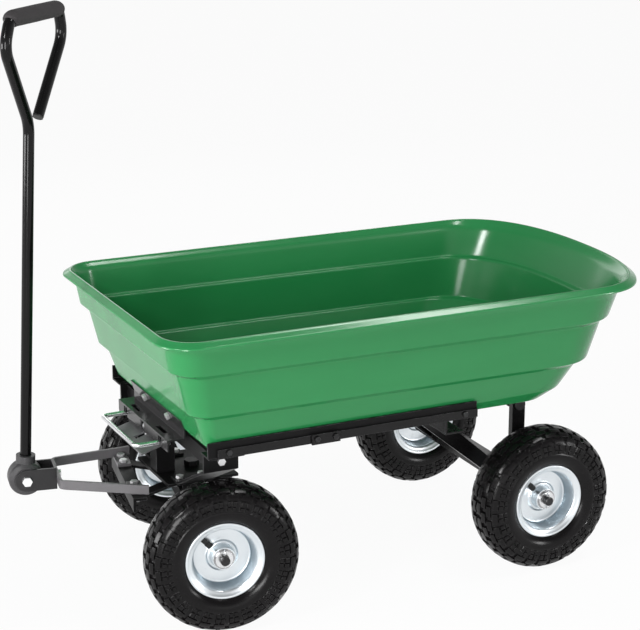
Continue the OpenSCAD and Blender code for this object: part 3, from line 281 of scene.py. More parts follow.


# Axle rods, king pin, hinge rod and strap bolts: plain turned steel, blackened and oiled. Their near black
# is partly painted shade, for the little of them that shows in the bored beam ends and the hubs.
BLACKED_AND_SHADED_STEEL = plating("blacked_and_shaded_steel", pale=(0.06, 0.06, 0.062), dull=(0.032, 0.032, 0.033),
                        smooth=0.28, rough=0.44, fine=900.0, broad=60.0, dent=0.10)
dressed(["rear_axle_rod", "front_axle_rod", "king_pin", "hinge_rod", "strap_bolts"], BLACKED_AND_SHADED_STEEL)


# Latch plate: a pressed steel tongue, bent forward and down from the front cross member, with a slot for
# the hook of the bail. It is phosphated, so it is a mid grey with a dry, slightly blotched surface.
LATCH_DARK, LATCH_PALE, LATCH_RUBBED = (0.13, 0.13, 0.135), (0.21, 0.21, 0.215), (0.45, 0.45, 0.46)


def latch_finish():
    """Phosphate grey: two greys by drift, pale rubbed edges, high roughness."""
    made, tree, shader = finish_of("latch_grey", metal=0.6)
    grain = used(tree, GRAIN, Fine=1500.0, Broad=60.0)
    edge_mask = used(tree, EDGES, Radius=0.0015, Patches=70.0)
    grey = tinted(tree, grain.outputs["Drift"], LATCH_DARK, LATCH_PALE)
    tree.links.new(tinted(tree, edge_mask.outputs["Mask"], grey, LATCH_RUBBED), shader.inputs["Base Color"])
    uneven_gloss(tree, shader, grain.outputs["Tooth"], smooth=0.42, rough=0.60)
    felt_surface(tree, shader, grain.outputs["Tooth"], depth=0.0003, strength=0.15, edge_radius=0.0006)
    return made


dressed(["latch_plate"], latch_finish())


# Steered front axle and tongue: bracket, square beam, braces, cross bar and a bent flat-bar tongue.
# The same black coat, painted paler on the tongue (a mid grey) and the clevis: painted sheen for the light
# on them.
dressed(["axle_bracket", "front_axle_beam", "tongue_cross_bar", "steer_brace_left", "steer_brace_right"],
        RAIL_COAT)
dressed(["tongue_strap"], powder_coat("sheen_grey_black_coat", smooth=0.34, rough=0.48, sheen=0.45, tone=20.0))
dressed(["clevis"], powder_coat("rubbed_sheen_black_coat", smooth=0.30, rough=0.42, sheen=0.35, tone=3.5))


# Wheels: where each one stands, taken from its own solids, and the way its axle points out of the cart.
# All four are the same wheel, so every wheel piece is made in a wheel frame and set on its place.
WHEELS = ("front_left", "front_right", "rear_left", "rear_right")
MM = 0.001


def wheel_frame(wheel):
    """Centre of a wheel and its three directions: up, the way across, and out along the axle."""
    low, high = (np.array(corner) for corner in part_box("rim_" + wheel))
    spin = next(row for row in frame["joints"] if row["child"] == "wheel_" + wheel)
    out = np.array(spin["axis"], float)
    out *= (1.0 if wheel.endswith("right") else -1.0) / np.linalg.norm(out)
    up = np.array([0.0, 0.0, 1.0])
    return (low + high) / 2, up, np.cross(out, up), out


def turned_points(profile, angles, wheel):
    """Profile rows of (radius, along the axle) turned round a wheel's axle at some angles, in metres."""
    centre, up, across, out = wheel_frame(wheel)
    spokes = np.cos(angles)[..., None] * up + np.sin(angles)[..., None] * across
    return centre + MM * (profile[..., 0, None] * spokes + profile[..., 1, None] * out)


def grid_piece(name, points, finish, ring_rows=False, poles=False, crease=0.7):
    """A mesh of quads between neighbours of points[row, column], closed along the columns.
    ring_rows joins the last row to the first; poles closes both ends with a fan round their middle."""
    rows, columns = points.shape[:2]
    index = np.arange(rows * columns).reshape(rows, columns)
    beside = np.roll(index, -1, axis=1)
    if ring_rows:
        index, beside = np.vstack([index, index[:1]]), np.vstack([beside, beside[:1]])
    faces = np.stack([index[:-1], beside[:-1], beside[1:], index[1:]], axis=-1).reshape(-1, 4).tolist()
    vertices = points.reshape(-1, 3)
    if poles:
        vertices = np.vstack([vertices, points[0].mean(0), points[-1].mean(0)])
        first, last = np.full(columns, rows * columns), np.full(columns, rows * columns + 1)
        faces += np.stack([first, beside[0], index[0]], axis=-1).tolist()
        faces += np.stack([last, index[-1], beside[-1]], axis=-1).tolist()
    mesh = bpy.data.meshes.new(name)
    mesh.from_pydata(vertices.tolist(), [], faces)
    mesh.shade_smooth()
    mesh.set_sharp_from_angle(angle=crease)
    mesh.materials.append(finish)
    piece = bpy.data.objects.new(name, mesh)
    bpy.context.scene.collection.objects.link(piece)
    return piece


# Rims: two pressed zinc-plated halves welded to a disc and a hub tube that holds the bearings.
# Drop-centre barrel with a rolled flange, a soft fold into the disc, and a collar pressed round the hub.
RIM_TURNS = 120
MOST_CUT, FLAT_LEAD = 0.40, 0.2
# Blue grey painted into the rim's well: painted shade and darker reflection.
WELL_SHADE_ZINC = (0.27, 0.325, 0.365)


def rounded_path(corners, rounding, steps=5):
    """A path through corners, each one cut back along both its edges and replaced by a parabola arc;
    one more point on the straight before and after each arc keeps the flats flat."""
    ahead = np.diff(corners, axis=0)
    length = np.linalg.norm(ahead, axis=1, keepdims=True)
    way = ahead / np.maximum(length, 1e-9)
    cut = np.minimum(rounding[1:-1, None], MOST_CUT * np.minimum(length[:-1], length[1:]))
    start, end = corners[1:-1] - cut * way[:-1], corners[1:-1] + cut * way[1:]
    t = np.linspace(0.0, 1.0, steps)[None, :, None]
    arcs = (1 - t) ** 2 * start[:, None] + 2 * t * (1 - t) * corners[1:-1, None] + t ** 2 * end[:, None]
    before, after = start - FLAT_LEAD * cut * way[:-1], end + FLAT_LEAD * cut * way[1:]
    arcs = np.concatenate([before[:, None], arcs, after[:, None]], axis=1)
    return np.vstack([corners[:1], arcs.reshape(-1, corners.shape[1]), corners[-1:]])


def rim_profile():
    """Closed section of (radius, along the axle): tyre side from the well to the flange, over the flange,
    down the barrel to the disc, along the disc to the hub and into its bore, then the same mirrored.
    Each row of the half section also gives the radius of its fold."""
    half = np.array([
        (55.0, 0.0, 0.0), (55.0, 15.0, 3.0), (62.0, 20.0, 3.0), (63.4, 27.5, 2.5), (66.8, 29.6, 1.5),
        (67.0, 32.4, 1.2), (63.8, 32.8, 1.2), (60.5, 30.6, 2.0), (54.6, 28.0, 2.4), (51.8, 15.0, 3.0),
        (49.4, 4.6, 3.0), (46.6, 3.4, 2.0), (27.5, 3.0, 1.6), (25.0, 5.6, 1.4), (22.8, 6.2, 0.8),
        (21.6, 5.0, 0.8), (20.2, 7.0, 1.0), (19.9, 22.0, 1.2), (17.6, 22.0, 0.6), (17.6, 11.0, 0.3),
        (14.5, 11.0, 0.3), (14.5, 0.0, 0.0)])
    upper = rounded_path(half[:, :2], half[:, 2])
    lower = (upper * np.array([1.0, -1.0]))[::-1]
    return np.vstack([lower[:-1], upper[1:-1]])


def rim_zinc():
    """Satin zinc with painted shade: blue grey by the piece's attribute "well", darkening the deep well."""
    made = plating("rim_zinc", pale=(0.80, 0.84, 0.865), dull=(0.72, 0.765, 0.795),
                   smooth=0.28, rough=0.40, fine=700.0, broad=9.0, dent=0.0)
    tree = made.node_tree
    base = tree.nodes["Principled BSDF"].inputs["Base Color"]
    # The attribute "well" is a painted shade mask.
    drawn = tree.nodes.new("ShaderNodeAttribute")
    drawn.attribute_name = "well"
    plated = base.links[0].from_socket
    tree.links.new(tinted(tree, drawn.outputs["Fac"], plated, WELL_SHADE_ZINC), base)
    return made


RIM_ZINC = rim_zinc()
section = rim_profile()
# Painted shade in the well: it fades in from the disc and out towards the flange, by radius and by the way
# along the axle.
well_by_radius = np.interp(section[:, 0], [46.8, 48.2, 54.0, 55.5], [0, 1, 1, 0])
well_along = np.interp(np.abs(section[:, 1]), [3.4, 4.4, 22.0, 28.0], [0, 1, 0.8, 0])
well_shade = np.repeat(well_by_radius * well_along, RIM_TURNS)
spokes = np.linspace(0.0, 2 * np.pi, RIM_TURNS, endpoint=False)
angles = np.broadcast_to(spokes, (len(section), RIM_TURNS))
for wheel in WHEELS:
    rim = grid_piece("rim_pressed_" + wheel, turned_points(section[:, None, :], angles, wheel),
                     RIM_ZINC, ring_rows=True, crease=0.5)
    rim.data.attributes.new("well", "FLOAT", "POINT").data.foreach_set("value", well_shade)
    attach(rim, "wheel_" + wheel)
    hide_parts("rim_" + wheel)


# Bearings: two shielded ball bearings pressed into the ends of each hub, on which the wheel turns.
# Their rings are ground steel, smoother and darker than the zinc round them.
BEARING_STEEL = plating("bearing_steel", pale=(0.50, 0.50, 0.51), dull=(0.34, 0.34, 0.35),
                        smooth=0.18, rough=0.30, fine=2000.0, broad=80.0, dent=0.05)
dressed(["bearings_" + wheel for wheel in WHEELS], BEARING_STEEL)


# Inner tubes: soft black butyl rings that lie inside the tyres, each with a valve stem moulded on.
# Only the stem shows, where it comes through its hole in the rim.
BLOOM, BLOOM_SHARE = (0.030, 0.028, 0.029), 0.25


def soft_rubber(name, dark, pale, smooth, rough, fine, gloss, shine):
    """Black rubber: two near blacks by drift, bloom in flecks, a fine tooth as bump, and a coat of shine
    where edges are rubbed."""
    made, tree, shader = finish_of(name)
    grain = used(tree, GRAIN, Fine=fine, Broad=26.0)
    black = tinted(tree, grain.outputs["Drift"], dark, pale)
    bloom = math_of(tree, "MULTIPLY", grain.outputs["Fleck"], BLOOM_SHARE)
    tree.links.new(tinted(tree, bloom, black, BLOOM), shader.inputs["Base Color"])
    shader.inputs["Specular IOR Level"].default_value = gloss
    uneven_gloss(tree, shader, grain.outputs["Drift"], smooth, rough)
    felt_surface(tree, shader, grain.outputs["Tooth"], depth=0.0004, strength=0.08, edge_radius=0.0014)
    polish = used(tree, EDGES, Radius=0.0020, Patches=70.0)
    tree.links.new(math_of(tree, "MULTIPLY", polish.outputs["Mask"], shine), shader.inputs["Coat Weight"])
    shader.inputs["Coat Roughness"].default_value = 0.12
    return made


TUBE_RUBBER = soft_rubber("tube_rubber", dark=(0.008, 0.008, 0.008), pale=(0.016, 0.016, 0.016),
                          smooth=0.40, rough=0.55, fine=1500.0, gloss=0.3, shine=0.1)
dressed(["inner_tube_" + wheel for wheel in WHEELS], TUBE_RUBBER)


# Tyres: moulded rubber, held on the rim by its beads. Up from the plain side wall come two rows of paired
# pads, a row of bars, a shoulder and the tread blocks. Pads and bars line up, the rows above them sit half
# a pitch over in turn, and the middle groove runs zigzag.
LUGS = 28
TYRE_MIDDLE, TYRE_RISE, TYRE_HALF, TYRE_POWER, BEAD_LEAN = 94.5, 35.5, 41.0, 2.6, -0.74
RAMP_OUT, RAMP_IN, GAP_WALL, SIPE_SPAN = 0.7, 0.3, 0.03, [0.04, 0.07]
ZIGZAG, ZIGZAG_REACH = 3.0, 10.0
# Each row of rubber: start and end from the crown, middle and half of its gap, 1 where a sipe splits it.
LUG_ROWS = np.array([
    (2.5, 12.0, 0.5, 0.13, 0.0), (14.0, 24.0, 0.0, 0.13, 0.0), (26.0, 35.0, 0.5, 0.12, 0.0),
    (38.0, 47.5, 0.0, 0.12, 0.0), (50.0, 58.0, 0.0, 0.13, 1.0), (60.5, 66.5, 0.0, 0.14, 1.0)])
ROW_MIDDLES = [7.5, 19.0, 30.5, 42.5, 54.0, 63.5]
SIDE_WALL_FROM, SIDE_WALL_LINES = 68.0, 9
DEPTH_FROM, DEPTH = [24.0, 31.0, 58.0, 66.5, 70.0], [4.0, 3.4, 2.4, 1.8, 0.0]
LINER = np.array([
    (64.4, -27.0), (64.4, -19.0), (69.0, -15.0), (80.0, -32.0), (94.5, -34.0), (115.0, -28.0),
    (122.0, -10.0), (122.0, 10.0), (115.0, 28.0), (94.5, 34.0), (80.0, 32.0), (69.0, 15.0),
    (64.4, 19.0), (64.4, 27.0)])


def tyre_section():
    """Points of the outer section by arc length from the crown, for one side: a superellipse about the
    middle radius, from the crown down to the bead."""
    lean = np.linspace(np.pi / 2, BEAD_LEAN, 900)
    power = 2 / TYRE_POWER
    radius = TYRE_MIDDLE + TYRE_RISE * np.sign(np.sin(lean)) * np.abs(np.sin(lean)) ** power
    out = TYRE_HALF * np.cos(lean) ** power
    length = np.concatenate([[0.0], np.cumsum(np.hypot(np.diff(radius), np.diff(out)))])
    return length, radius, out


def lug_height(distance, turn):
    """How high the rubber stands, 0 to 1, at a distance from the crown and a share of one lug's pitch:
    the highest of the rows, each a ramp across the tyre times a ramp round it times its sipe."""
    height = np.zeros(np.broadcast(distance, turn).shape)
    for start, end, gap, half, sipe in LUG_ROWS:
        rise = [start - RAMP_OUT, start + RAMP_IN, end - RAMP_IN, end + RAMP_OUT]
        across = np.interp(distance, rise, [0, 1, 1, 0])
        away = np.abs((turn - gap + 0.5) % 1.0 - 0.5)
        round_it = np.interp(away, [half, half + GAP_WALL], [0, 1])
        slot = np.interp(np.abs(away - 0.5), SIPE_SPAN, [1 - sipe, 1])
        height = np.maximum(height, across * round_it * slot)
    return height


def tyre_points(wheel):
    """Closed tyre skin: outer section from bead to bead cut down by the tread where no lug stands,
    then the liner back, turned round the axle with grid lines laid on the edges of the lugs."""
    length, radius, out = tyre_section()
    edges = LUG_ROWS[:, :2].ravel()
    side_wall = np.linspace(SIDE_WALL_FROM, length[-1], SIDE_WALL_LINES)
    lines = np.sort(np.concatenate([[0.0], edges - RAMP_OUT, edges + RAMP_IN, edges - RAMP_IN,
                                    edges + RAMP_OUT, ROW_MIDDLES, side_wall]))
    signed = np.concatenate([lines[::-1], -lines[1:]])
    pitch = np.array([0.0, 0.06, 0.12, 0.15, 0.18, 0.25, 0.34, 0.37, 0.43, 0.46,
                      0.50, 0.54, 0.57, 0.63, 0.66, 0.75, 0.82, 0.85, 0.88, 0.94])
    turn = (np.arange(LUGS)[:, None] + pitch).ravel()
    weave = ZIGZAG * np.interp(turn % 1.0, [0.0, 0.5, 1.0], [-1.0, 1.0, -1.0])
    place = signed[:, None] + weave[None, :] * np.clip(1 - np.abs(signed[:, None]) / ZIGZAG_REACH, 0, 1)
    distance = np.abs(place)
    height = lug_height(np.abs(signed)[:, None], turn[None, :])
    deep = np.interp(np.abs(signed), DEPTH_FROM, DEPTH)[:, None]
    lean_r, lean_a = np.gradient(radius, length), np.gradient(out, length)
    drop = deep * (1 - height)
    skin_r = np.interp(distance, length, radius) - drop * np.interp(distance, length, lean_a)
    skin_a = np.interp(distance, length, out) + drop * np.interp(distance, length, lean_r)
    skin = np.stack([skin_r, np.sign(place + 1e-9) * skin_a], axis=-1)
    liner = np.broadcast_to(LINER[:, None, :], (len(LINER), len(turn), 2))
    profile = np.vstack([skin, liner])[::-1]
    return turned_points(profile, np.broadcast_to(turn * 2 * np.pi / LUGS, profile.shape[:2]), wheel)


TYRE_RUBBER = soft_rubber("tyre_rubber", dark=(0.0024, 0.0020, 0.0023), pale=(0.0058, 0.0050, 0.0055),
                          smooth=0.17, rough=0.26, fine=1100.0, gloss=0.19, shine=1.0)
for wheel in WHEELS:
    tyre = grid_piece("tyre_lugged_" + wheel, tyre_points(wheel), TYRE_RUBBER, ring_rows=True, crease=0.45)
    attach(tyre, "wheel_" + wheel)
    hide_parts("tyre_" + wheel)


# Tray: one moulded tub of green polypropylene, with two steps all round and a rounded pouring end, screwed
# to its two brackets. The rim is turned out and down as a lip; every fold has the soft radius of the mould.
# Its lengths are in millimetres from the king pin, and MIDDLE_X is where the frame's origin lies.
MIDDLE_X = 246.4833
RIM_HIGH, FLOOR_HIGH, WALL = 516.0, 303.0, 4.0
LIP_OUT, LIP_DOWN, FLARE_OUT = 10.0, 10.5, 5.0
TRAY_FRONT, TRAY_REAR, TRAY_HALF = -138.0, 801.0, 278.0
REAR_DEEP, REAR_DRAW, REAR_POWER = 155.0, 0.4, 2.4
CORNER, CORNER_DRAW, LEAST_CORNER = 58.0, 0.5, 4.0
REAR_POINTS, SIDE_POINTS, CORNER_POINTS, FRONT_POINTS = 81, 26, 17, 18
FLOOR_RINGS, FLOOR_SHARES = 12, (0.06, 0.94)
STEP_RISE, FLARE_RISE, FLARE_FOLD = 6.0, 2.0, 10.0
REAR_SLANT, FLARE_SLANT = np.array([1.0, 1.0, 1.3]), np.array([1.0, 1.0, 1.2])
# The third green is a painted highlight for the folds.
GREEN_DEEP, GREEN_PALE, GREEN_FOLD_HIGHLIGHT = (0.018, 0.222, 0.062), (0.026, 0.252, 0.076), (0.16, 0.46, 0.27)


def tray_rows():
    """Rows of (front, side and rear shift inward, height, lift at the front, lift at the rear, fold radius)
    from the floor's underside up the outer wall, over the lip and down the inner wall; each wall adds its
    leans and its two step shifts in turn, and both steps run up a little towards the front."""
    level = np.array([RIM_HIGH, 448.0, 440.0, 371.5, 363.5, FLOOR_HIGH])
    bands = np.array([[59.5, 65.0, 58.5]])
    lean = (np.array([(0.19, 0.27, 0.385), (0.15, 0.11, 0.30), (0.56, 0.40, 0.94)]) * bands).T
    first_step, second_step = (13.5, 10.0, 12.5), (14.4, 10.0, 19.0)
    wall = np.cumsum([np.zeros(3), lean[0] + FLARE_OUT, first_step, lean[1], second_step, lean[2]], axis=0)

    def at(k, inward, up, fold):
        """Fold k of the wall, drawn in and up."""
        return [*(wall[k] + inward * REAR_SLANT), level[k] + up, STEP_RISE, 0.0, fold]

    def flare(inward, high, share):
        """The swell under the lip, a share of the way from the rim to the first fold."""
        drawn = FLARE_OUT + (wall[1] - FLARE_OUT) * share * REAR_SLANT
        return [*(drawn + inward * FLARE_SLANT), high, FLARE_RISE, 0.0, FLARE_FOLD]

    def even(inward, high, fold):
        """A row of the lip, the same all round."""
        return [inward, inward, inward, high, 0.0, 0.0, fold]

    def foot(inward, high, rear_lift, fold):
        """A row of the floor, drawn in from the foot of the wall."""
        return [*(wall[5] + np.array(inward)), high, 0.0, rear_lift, fold]

    bevel = wall[4] + np.array([0.77, 0.77, 0.57]) * (wall[5] - wall[4])
    return np.array([
        foot((30.0, 30.0, 48.0), FLOOR_HIGH, 0.0, 0.0), foot((8.0, 8.0, 13.0), FLOOR_HIGH, 0.0, 3.0),
        [*bevel, FLOOR_HIGH + 14.0, 0.0, 12.0, 3.0],
        at(4, 0, 0, 2.0), at(3, 0, 0, 2.4), at(2, 0, 0, 2.0), at(1, 0, 0, 2.4), flare(0, 493.0, 0.36),
        even(0.5, RIM_HIGH - 7.0, 2.0), even(2.4 - LIP_OUT, RIM_HIGH - LIP_DOWN - 0.6, 0.6),
        even(-LIP_OUT, RIM_HIGH - LIP_DOWN, 0.7), even(-LIP_OUT + 0.6, RIM_HIGH - LIP_DOWN + 3.0, 1.2),
        even(-1.4, RIM_HIGH - 1.6, 1.0), even(0.4, RIM_HIGH, 1.0), even(2.8, RIM_HIGH, 1.0),
        even(WALL, RIM_HIGH - 2.6, 1.4), flare(WALL, 503.0, 0.16),
        at(1, WALL, -0.5, 3.0), at(2, WALL, 6.8, 3.6), at(3, WALL, -0.5, 3.0), at(4, WALL, 6.8, 3.6),
        foot((WALL + 2, WALL + 2, WALL + 4), FLOOR_HIGH + WALL + 6, 0.0, 9.0),
        foot((WALL + 10, WALL + 10, WALL + 16), FLOOR_HIGH + WALL, 0.0, 9.0),
        foot((WALL + 60, WALL + 60, WALL + 76), FLOOR_HIGH + WALL, 0.0, 0.0)])


def tray_ring(front, side, rear):
    """Plan outline for arrays of shifts: a superellipse at the rear, straight sides, and two round
    corners at the front, counter-clockwise from the near end of the rear curve."""
    front, side, rear = (v[:, None] for v in (front, side, rear))
    half = TRAY_HALF - side
    depth = REAR_DEEP - REAR_DRAW * rear
    corner = np.maximum(CORNER - CORNER_DRAW * front, LEAST_CORNER)
    back, cx, cy = TRAY_REAR - rear, TRAY_FRONT + front + corner, half - corner
    lean = np.linspace(-np.pi / 2, np.pi / 2, REAR_POINTS)[None, :]
    power = 2 / REAR_POWER
    rear_x = back - depth + depth * np.abs(np.cos(lean)) ** power
    rear_y = half * np.sign(lean) * np.abs(np.sin(lean)) ** power
    along = np.linspace(0.0, 1.0, SIDE_POINTS)[None, 1:-1]
    side_x = (back - depth) + (cx - back + depth) * along
    turn = np.linspace(np.pi / 2, np.pi, CORNER_POINTS)[None, :]
    bend_x, bend_y = cx + corner * np.cos(turn), cy + corner * np.sin(turn)
    cross = np.linspace(1.0, -1.0, FRONT_POINTS)[None, 1:-1]
    front_x, front_y = (TRAY_FRONT + front) * np.ones_like(cross), cy * cross
    x = np.hstack([rear_x, side_x, bend_x, front_x, bend_x[:, ::-1], side_x[:, ::-1]])
    y = np.hstack([rear_y, half + 0 * side_x, bend_y, front_y, -bend_y[:, ::-1], -half + 0 * side_x])
    return x, y


def tray_points():
    """Rings of the rounded row path, lifted by the share of the way back, with both floors drawn in to
    their middle by a share of each ring."""
    rows = tray_rows()
    path = rounded_path(rows[:, :6], rows[:, 6], steps=6)
    x, y = tray_ring(path[:, 0], path[:, 1], path[:, 2])
    way = np.clip((x - TRAY_FRONT) / (TRAY_REAR - TRAY_FRONT), 0.0, 1.0)
    high = path[:, 3:4] + path[:, 4:5] * (1 - way) + path[:, 5:6] * way ** 4
    points = np.stack([x - MIDDLE_X, y, high], axis=-1)
    share = np.linspace(*FLOOR_SHARES, FLOOR_RINGS)[:, None, None]
    under = points[0].mean(0) + share * (points[0] - points[0].mean(0))
    inside = points[-1].mean(0) + share[::-1] * (points[-1] - points[-1].mean(0))
    return MM * np.concatenate([under, points, inside])


def tray_plastic():
    """Green plastic: two greens in long flow streaks, a pale painted highlight on folds, glossy with a
    slight peel.
    """
    made, tree, shader = finish_of("tray_plastic")
    grain = used(tree, GRAIN, Fine=420.0, Broad=5.0, Stretch=(0.35, 0.35, 1.2))
    edge_mask = used(tree, EDGES, Radius=0.003, Patches=18.0)
    streaks = ranged(tree, grain.outputs["Drift"], *NOISE_SPAN, 0.0, 1.0)
    green = tinted(tree, streaks, GREEN_DEEP, GREEN_PALE)
    # Pale mint on the folds and edges: a painted highlight.
    fold_highlight = math_of(tree, "MULTIPLY", edge_mask.outputs["Mask"], 0.20)
    tree.links.new(tinted(tree, fold_highlight, green, GREEN_FOLD_HIGHLIGHT), shader.inputs["Base Color"])
    uneven_gloss(tree, shader, grain.outputs["Drift"], smooth=0.14, rough=0.22)
    shader.inputs["Specular IOR Level"].default_value = 0.44
    felt_surface(tree, shader, grain.outputs["Tooth"], depth=0.0006, strength=0.04, edge_radius=0.0012)
    return made


tray = grid_piece("tray_moulded", tray_points(), tray_plastic(), poles=True, crease=1.0)
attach(tray, "tray_body")
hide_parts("tray")


# Tray brackets: pressed steel plates in the black coat, screwed to the tub. The one on the front wall
# carries the latch bail, the one under the floor turns on the hinge rod.
# The front bracket's black is painted four times paler: painted light and sheen on its plate.
dressed(["tray_front_bracket"],
        powder_coat("bracket_sheen_black_coat", smooth=0.14, rough=0.26, sheen=0.5, tone=4.0))
dressed(["tray_hinge_bracket"], POWDER_COAT)


# Handle: one round steel tube bent to a D-shaped loop, its foot set in the knuckle and its free end cut
# square beside the stem. It has the same black coat, smoother and worn a little on its edges.
PIVOT = np.array([-291.0, 0.0, 210.0])
STEER_POSE, HANDLE_LEAN, LOOP_TURN = -10.0, 3.0, 58.0
TUBE_R = 9.5


def turning(axis, degrees):
    """Rotation matrix about one of the three axes."""
    c, s = np.cos(np.radians(degrees)), np.sin(np.radians(degrees))
    one, two = (axis + 1) % 3, (axis + 2) % 3
    matrix = np.eye(3)
    matrix[one, one], matrix[one, two], matrix[two, one], matrix[two, two] = c, -s, s, c
    return matrix


def on_loop(flat):
    """Points of the loop's plane, as (across, up, off the plane), set on the leaning, steered handle."""
    leaned = flat @ (turning(1, HANDLE_LEAN) @ turning(2, LOOP_TURN) @ turning(0, 90.0)).T
    return MM * ((leaned + PIVOT) @ turning(2, STEER_POSE).T - np.array([MIDDLE_X, 0.0, 0.0]))


def bent_path(corners, radii, steps=14):
    """Path through corners, each replaced by a circular arc of its radius: from where the arc starts,
    radius times (1 - cos) to the side plus radius times sin along the way in."""
    way = np.diff(corners, axis=0)
    way = way / np.linalg.norm(way, axis=1, keepdims=True)
    come, go = way[:-1], way[1:]
    cross = come[:, 0] * go[:, 1] - come[:, 1] * go[:, 0]
    turn = np.arctan2(cross, (come * go).sum(1))
    side = np.sign(turn)[:, None] * np.stack([-come[:, 1], come[:, 0]], axis=1)
    r = radii[1:-1, None]
    start = corners[1:-1] - r * np.tan(np.abs(turn) / 2)[:, None] * come
    swept = np.linspace(0.0, 1.0, steps)[None, :, None] * np.abs(turn)[:, None, None]
    bend = side[:, None] * (1 - np.cos(swept)) + come[:, None] * np.sin(swept)
    arcs = start[:, None] + r[:, None] * bend
    return np.vstack([corners[:1], arcs.reshape(-1, 2), corners[-1:]])


def tube_points(path, radius, sides=36):
    """A round profile carried along a flat path: point plus radius times (normal cos + off-plane sin)."""
    way = np.gradient(path, axis=0)
    way = way / np.linalg.norm(way, axis=1, keepdims=True)
    normal = np.stack([-way[:, 1], way[:, 0]], axis=1)
    around = np.linspace(0.0, 2 * np.pi, sides, endpoint=False)
    radius = np.broadcast_to(radius, len(path))[:, None]
    flat = path[:, None, :] + (radius * np.cos(around))[..., None] * normal[:, None, :]
    return np.concatenate([flat, (radius * np.sin(around))[..., None]], axis=-1)


# Corners of the tube from the knuckle round the loop to its free end: across, up, radius of the bend.
LOOP = np.array([(0.0, 12.3, 0.0), (0.0, 612.0, 60.0), (-92.5, 745.0, 40.0), (-74.5, 790.0, 20.0),
                 (110.5, 790.0, 20.0), (128.5, 745.0, 40.0), (36.0, 620.0, 0.0)])
loop_path = bent_path(LOOP[:, :2], LOOP[:, 2])
TUBE_COAT = powder_coat("black_tube_coat", smooth=0.10, rough=0.16, sheen=0.22, tone=0.6, peel=0.01)
tube = grid_piece("handle_bent_tube", on_loop(tube_points(loop_path, TUBE_R)), TUBE_COAT,
                  poles=True, crease=0.8)
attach(tube, "handle")
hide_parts("handle_tube")


# Grip: a closed-cell foam sleeve pushed on the top of the loop and a little way into both bends.
# Its skin is matt and finely pored, a little proud in the middle, with faint rings and rolled ends.
GRIP_HALF, GRIP_BORE, GRIP_WALL, GRIP_CROWN = 93.0, 10.2, 3.4, 0.35
RING_HIGH, RING_TURNS = 0.12, 34
ROLL_FROM, ROLL = 0.93, 0.07
BEND_STEPS, BENDS_BEFORE_TOP = 40, 3
FOAM_DARK, FOAM_PALE, FOAM_PORE = (0.022, 0.020, 0.021), (0.042, 0.038, 0.040), (0.075, 0.070, 0.072)


def grip_points():
    """Sleeve carried by arc length along the loop's top and into both bends: bore plus wall, with a cosine
    crown and sine rings, drawn to the bore by a quarter circle at each end."""
    u = np.concatenate([np.linspace(-1.0, -ROLL_FROM, 8), np.linspace(-0.91, 0.91, 60),
                        np.linspace(ROLL_FROM, 1.0, 8)])
    end = np.sqrt(np.clip(1 - ((np.abs(u) - ROLL_FROM) / ROLL).clip(0, 1) ** 2, 0, 1))
    crown, rings = GRIP_CROWN * np.cos(np.pi * u / 2), RING_HIGH * np.sin(RING_TURNS * np.pi * u)
    radius = GRIP_BORE + (GRIP_WALL + crown + rings) * end
    bent = bent_path(LOOP[:, :2], LOOP[:, 2], steps=BEND_STEPS)
    run = np.concatenate([[0.0], np.cumsum(np.linalg.norm(np.diff(bent, axis=0), axis=1))])
    top = BENDS_BEFORE_TOP * BEND_STEPS
    reach = (run[top] + run[top + 1]) / 2 + GRIP_HALF * u
    path = np.stack([np.interp(reach, run, bent[:, 0]), np.interp(reach, run, bent[:, 1])], axis=1)
    return on_loop(tube_points(path, radius, 48))


def grip_foam():
    """Dark foam: two charcoals by drift, paler pores, full roughness, a deep fine bump."""
    made, tree, shader = finish_of("grip_foam")
    grain = used(tree, GRAIN, Fine=1300.0, Broad=45.0)
    dark = tinted(tree, grain.outputs["Drift"], FOAM_DARK, FOAM_PALE)
    pores = ranged(tree, grain.outputs["Tooth"], 0.55, 0.75, 0.0, 0.5)
    tree.links.new(tinted(tree, pores, dark, FOAM_PORE), shader.inputs["Base Color"])
    uneven_gloss(tree, shader, grain.outputs["Tooth"], smooth=0.72, rough=0.92)
    felt_surface(tree, shader, grain.outputs["Tooth"], depth=0.0008, strength=0.45, edge_radius=0.0008)
    return made


grip = grid_piece("grip_sleeve", grip_points(), grip_foam(), poles=True, crease=0.9)
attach(grip, "handle")
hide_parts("grip")


# Knuckle and end plug: dark mouldings of glass-filled nylon. The knuckle holds the foot of the tube and
# turns in the clevis on the handle bolt; the plug is pushed into the tube's free end.
NYLON_DARK, NYLON_PALE, NYLON_RUBBED = (0.028, 0.027, 0.029), (0.050, 0.048, 0.051), (0.13, 0.13, 0.13)


def nylon(name, tone):
    """Dark nylon: charcoal by drift, pale rubbed edges, half gloss with a moulded grain."""
    made, tree, shader = finish_of(name)
    grain = used(tree, GRAIN, Fine=1000.0, Broad=30.0)
    edge_mask = used(tree, EDGES, Radius=0.002, Patches=60.0)
    dark = tinted(tree, grain.outputs["Drift"], toned(NYLON_DARK, tone), toned(NYLON_PALE, tone))
    worn = math_of(tree, "MULTIPLY", edge_mask.outputs["Mask"], 0.35 * tone)
    tree.links.new(tinted(tree, worn, dark, NYLON_RUBBED), shader.inputs["Base Color"])
    uneven_gloss(tree, shader, grain.outputs["Tooth"], smooth=0.38, rough=0.56)
    felt_surface(tree, shader, grain.outputs["Tooth"], depth=0.0004, strength=0.25, edge_radius=0.0012)
    return made


dressed(["knuckle"], nylon("knuckle_plastic", tone=1.0))
dressed(["tube_plug"], nylon("plug_plastic", tone=0.1))


# Studio: a pale, matt floor that the cart stands on. It shows as white to the camera, in gloss and through
# glass, and a small share of it is lit, so it still takes a soft shadow.
FLOOR_HALF, FLOOR_LINES, PLAIN_SHARE = 14.0, 9, 0.95


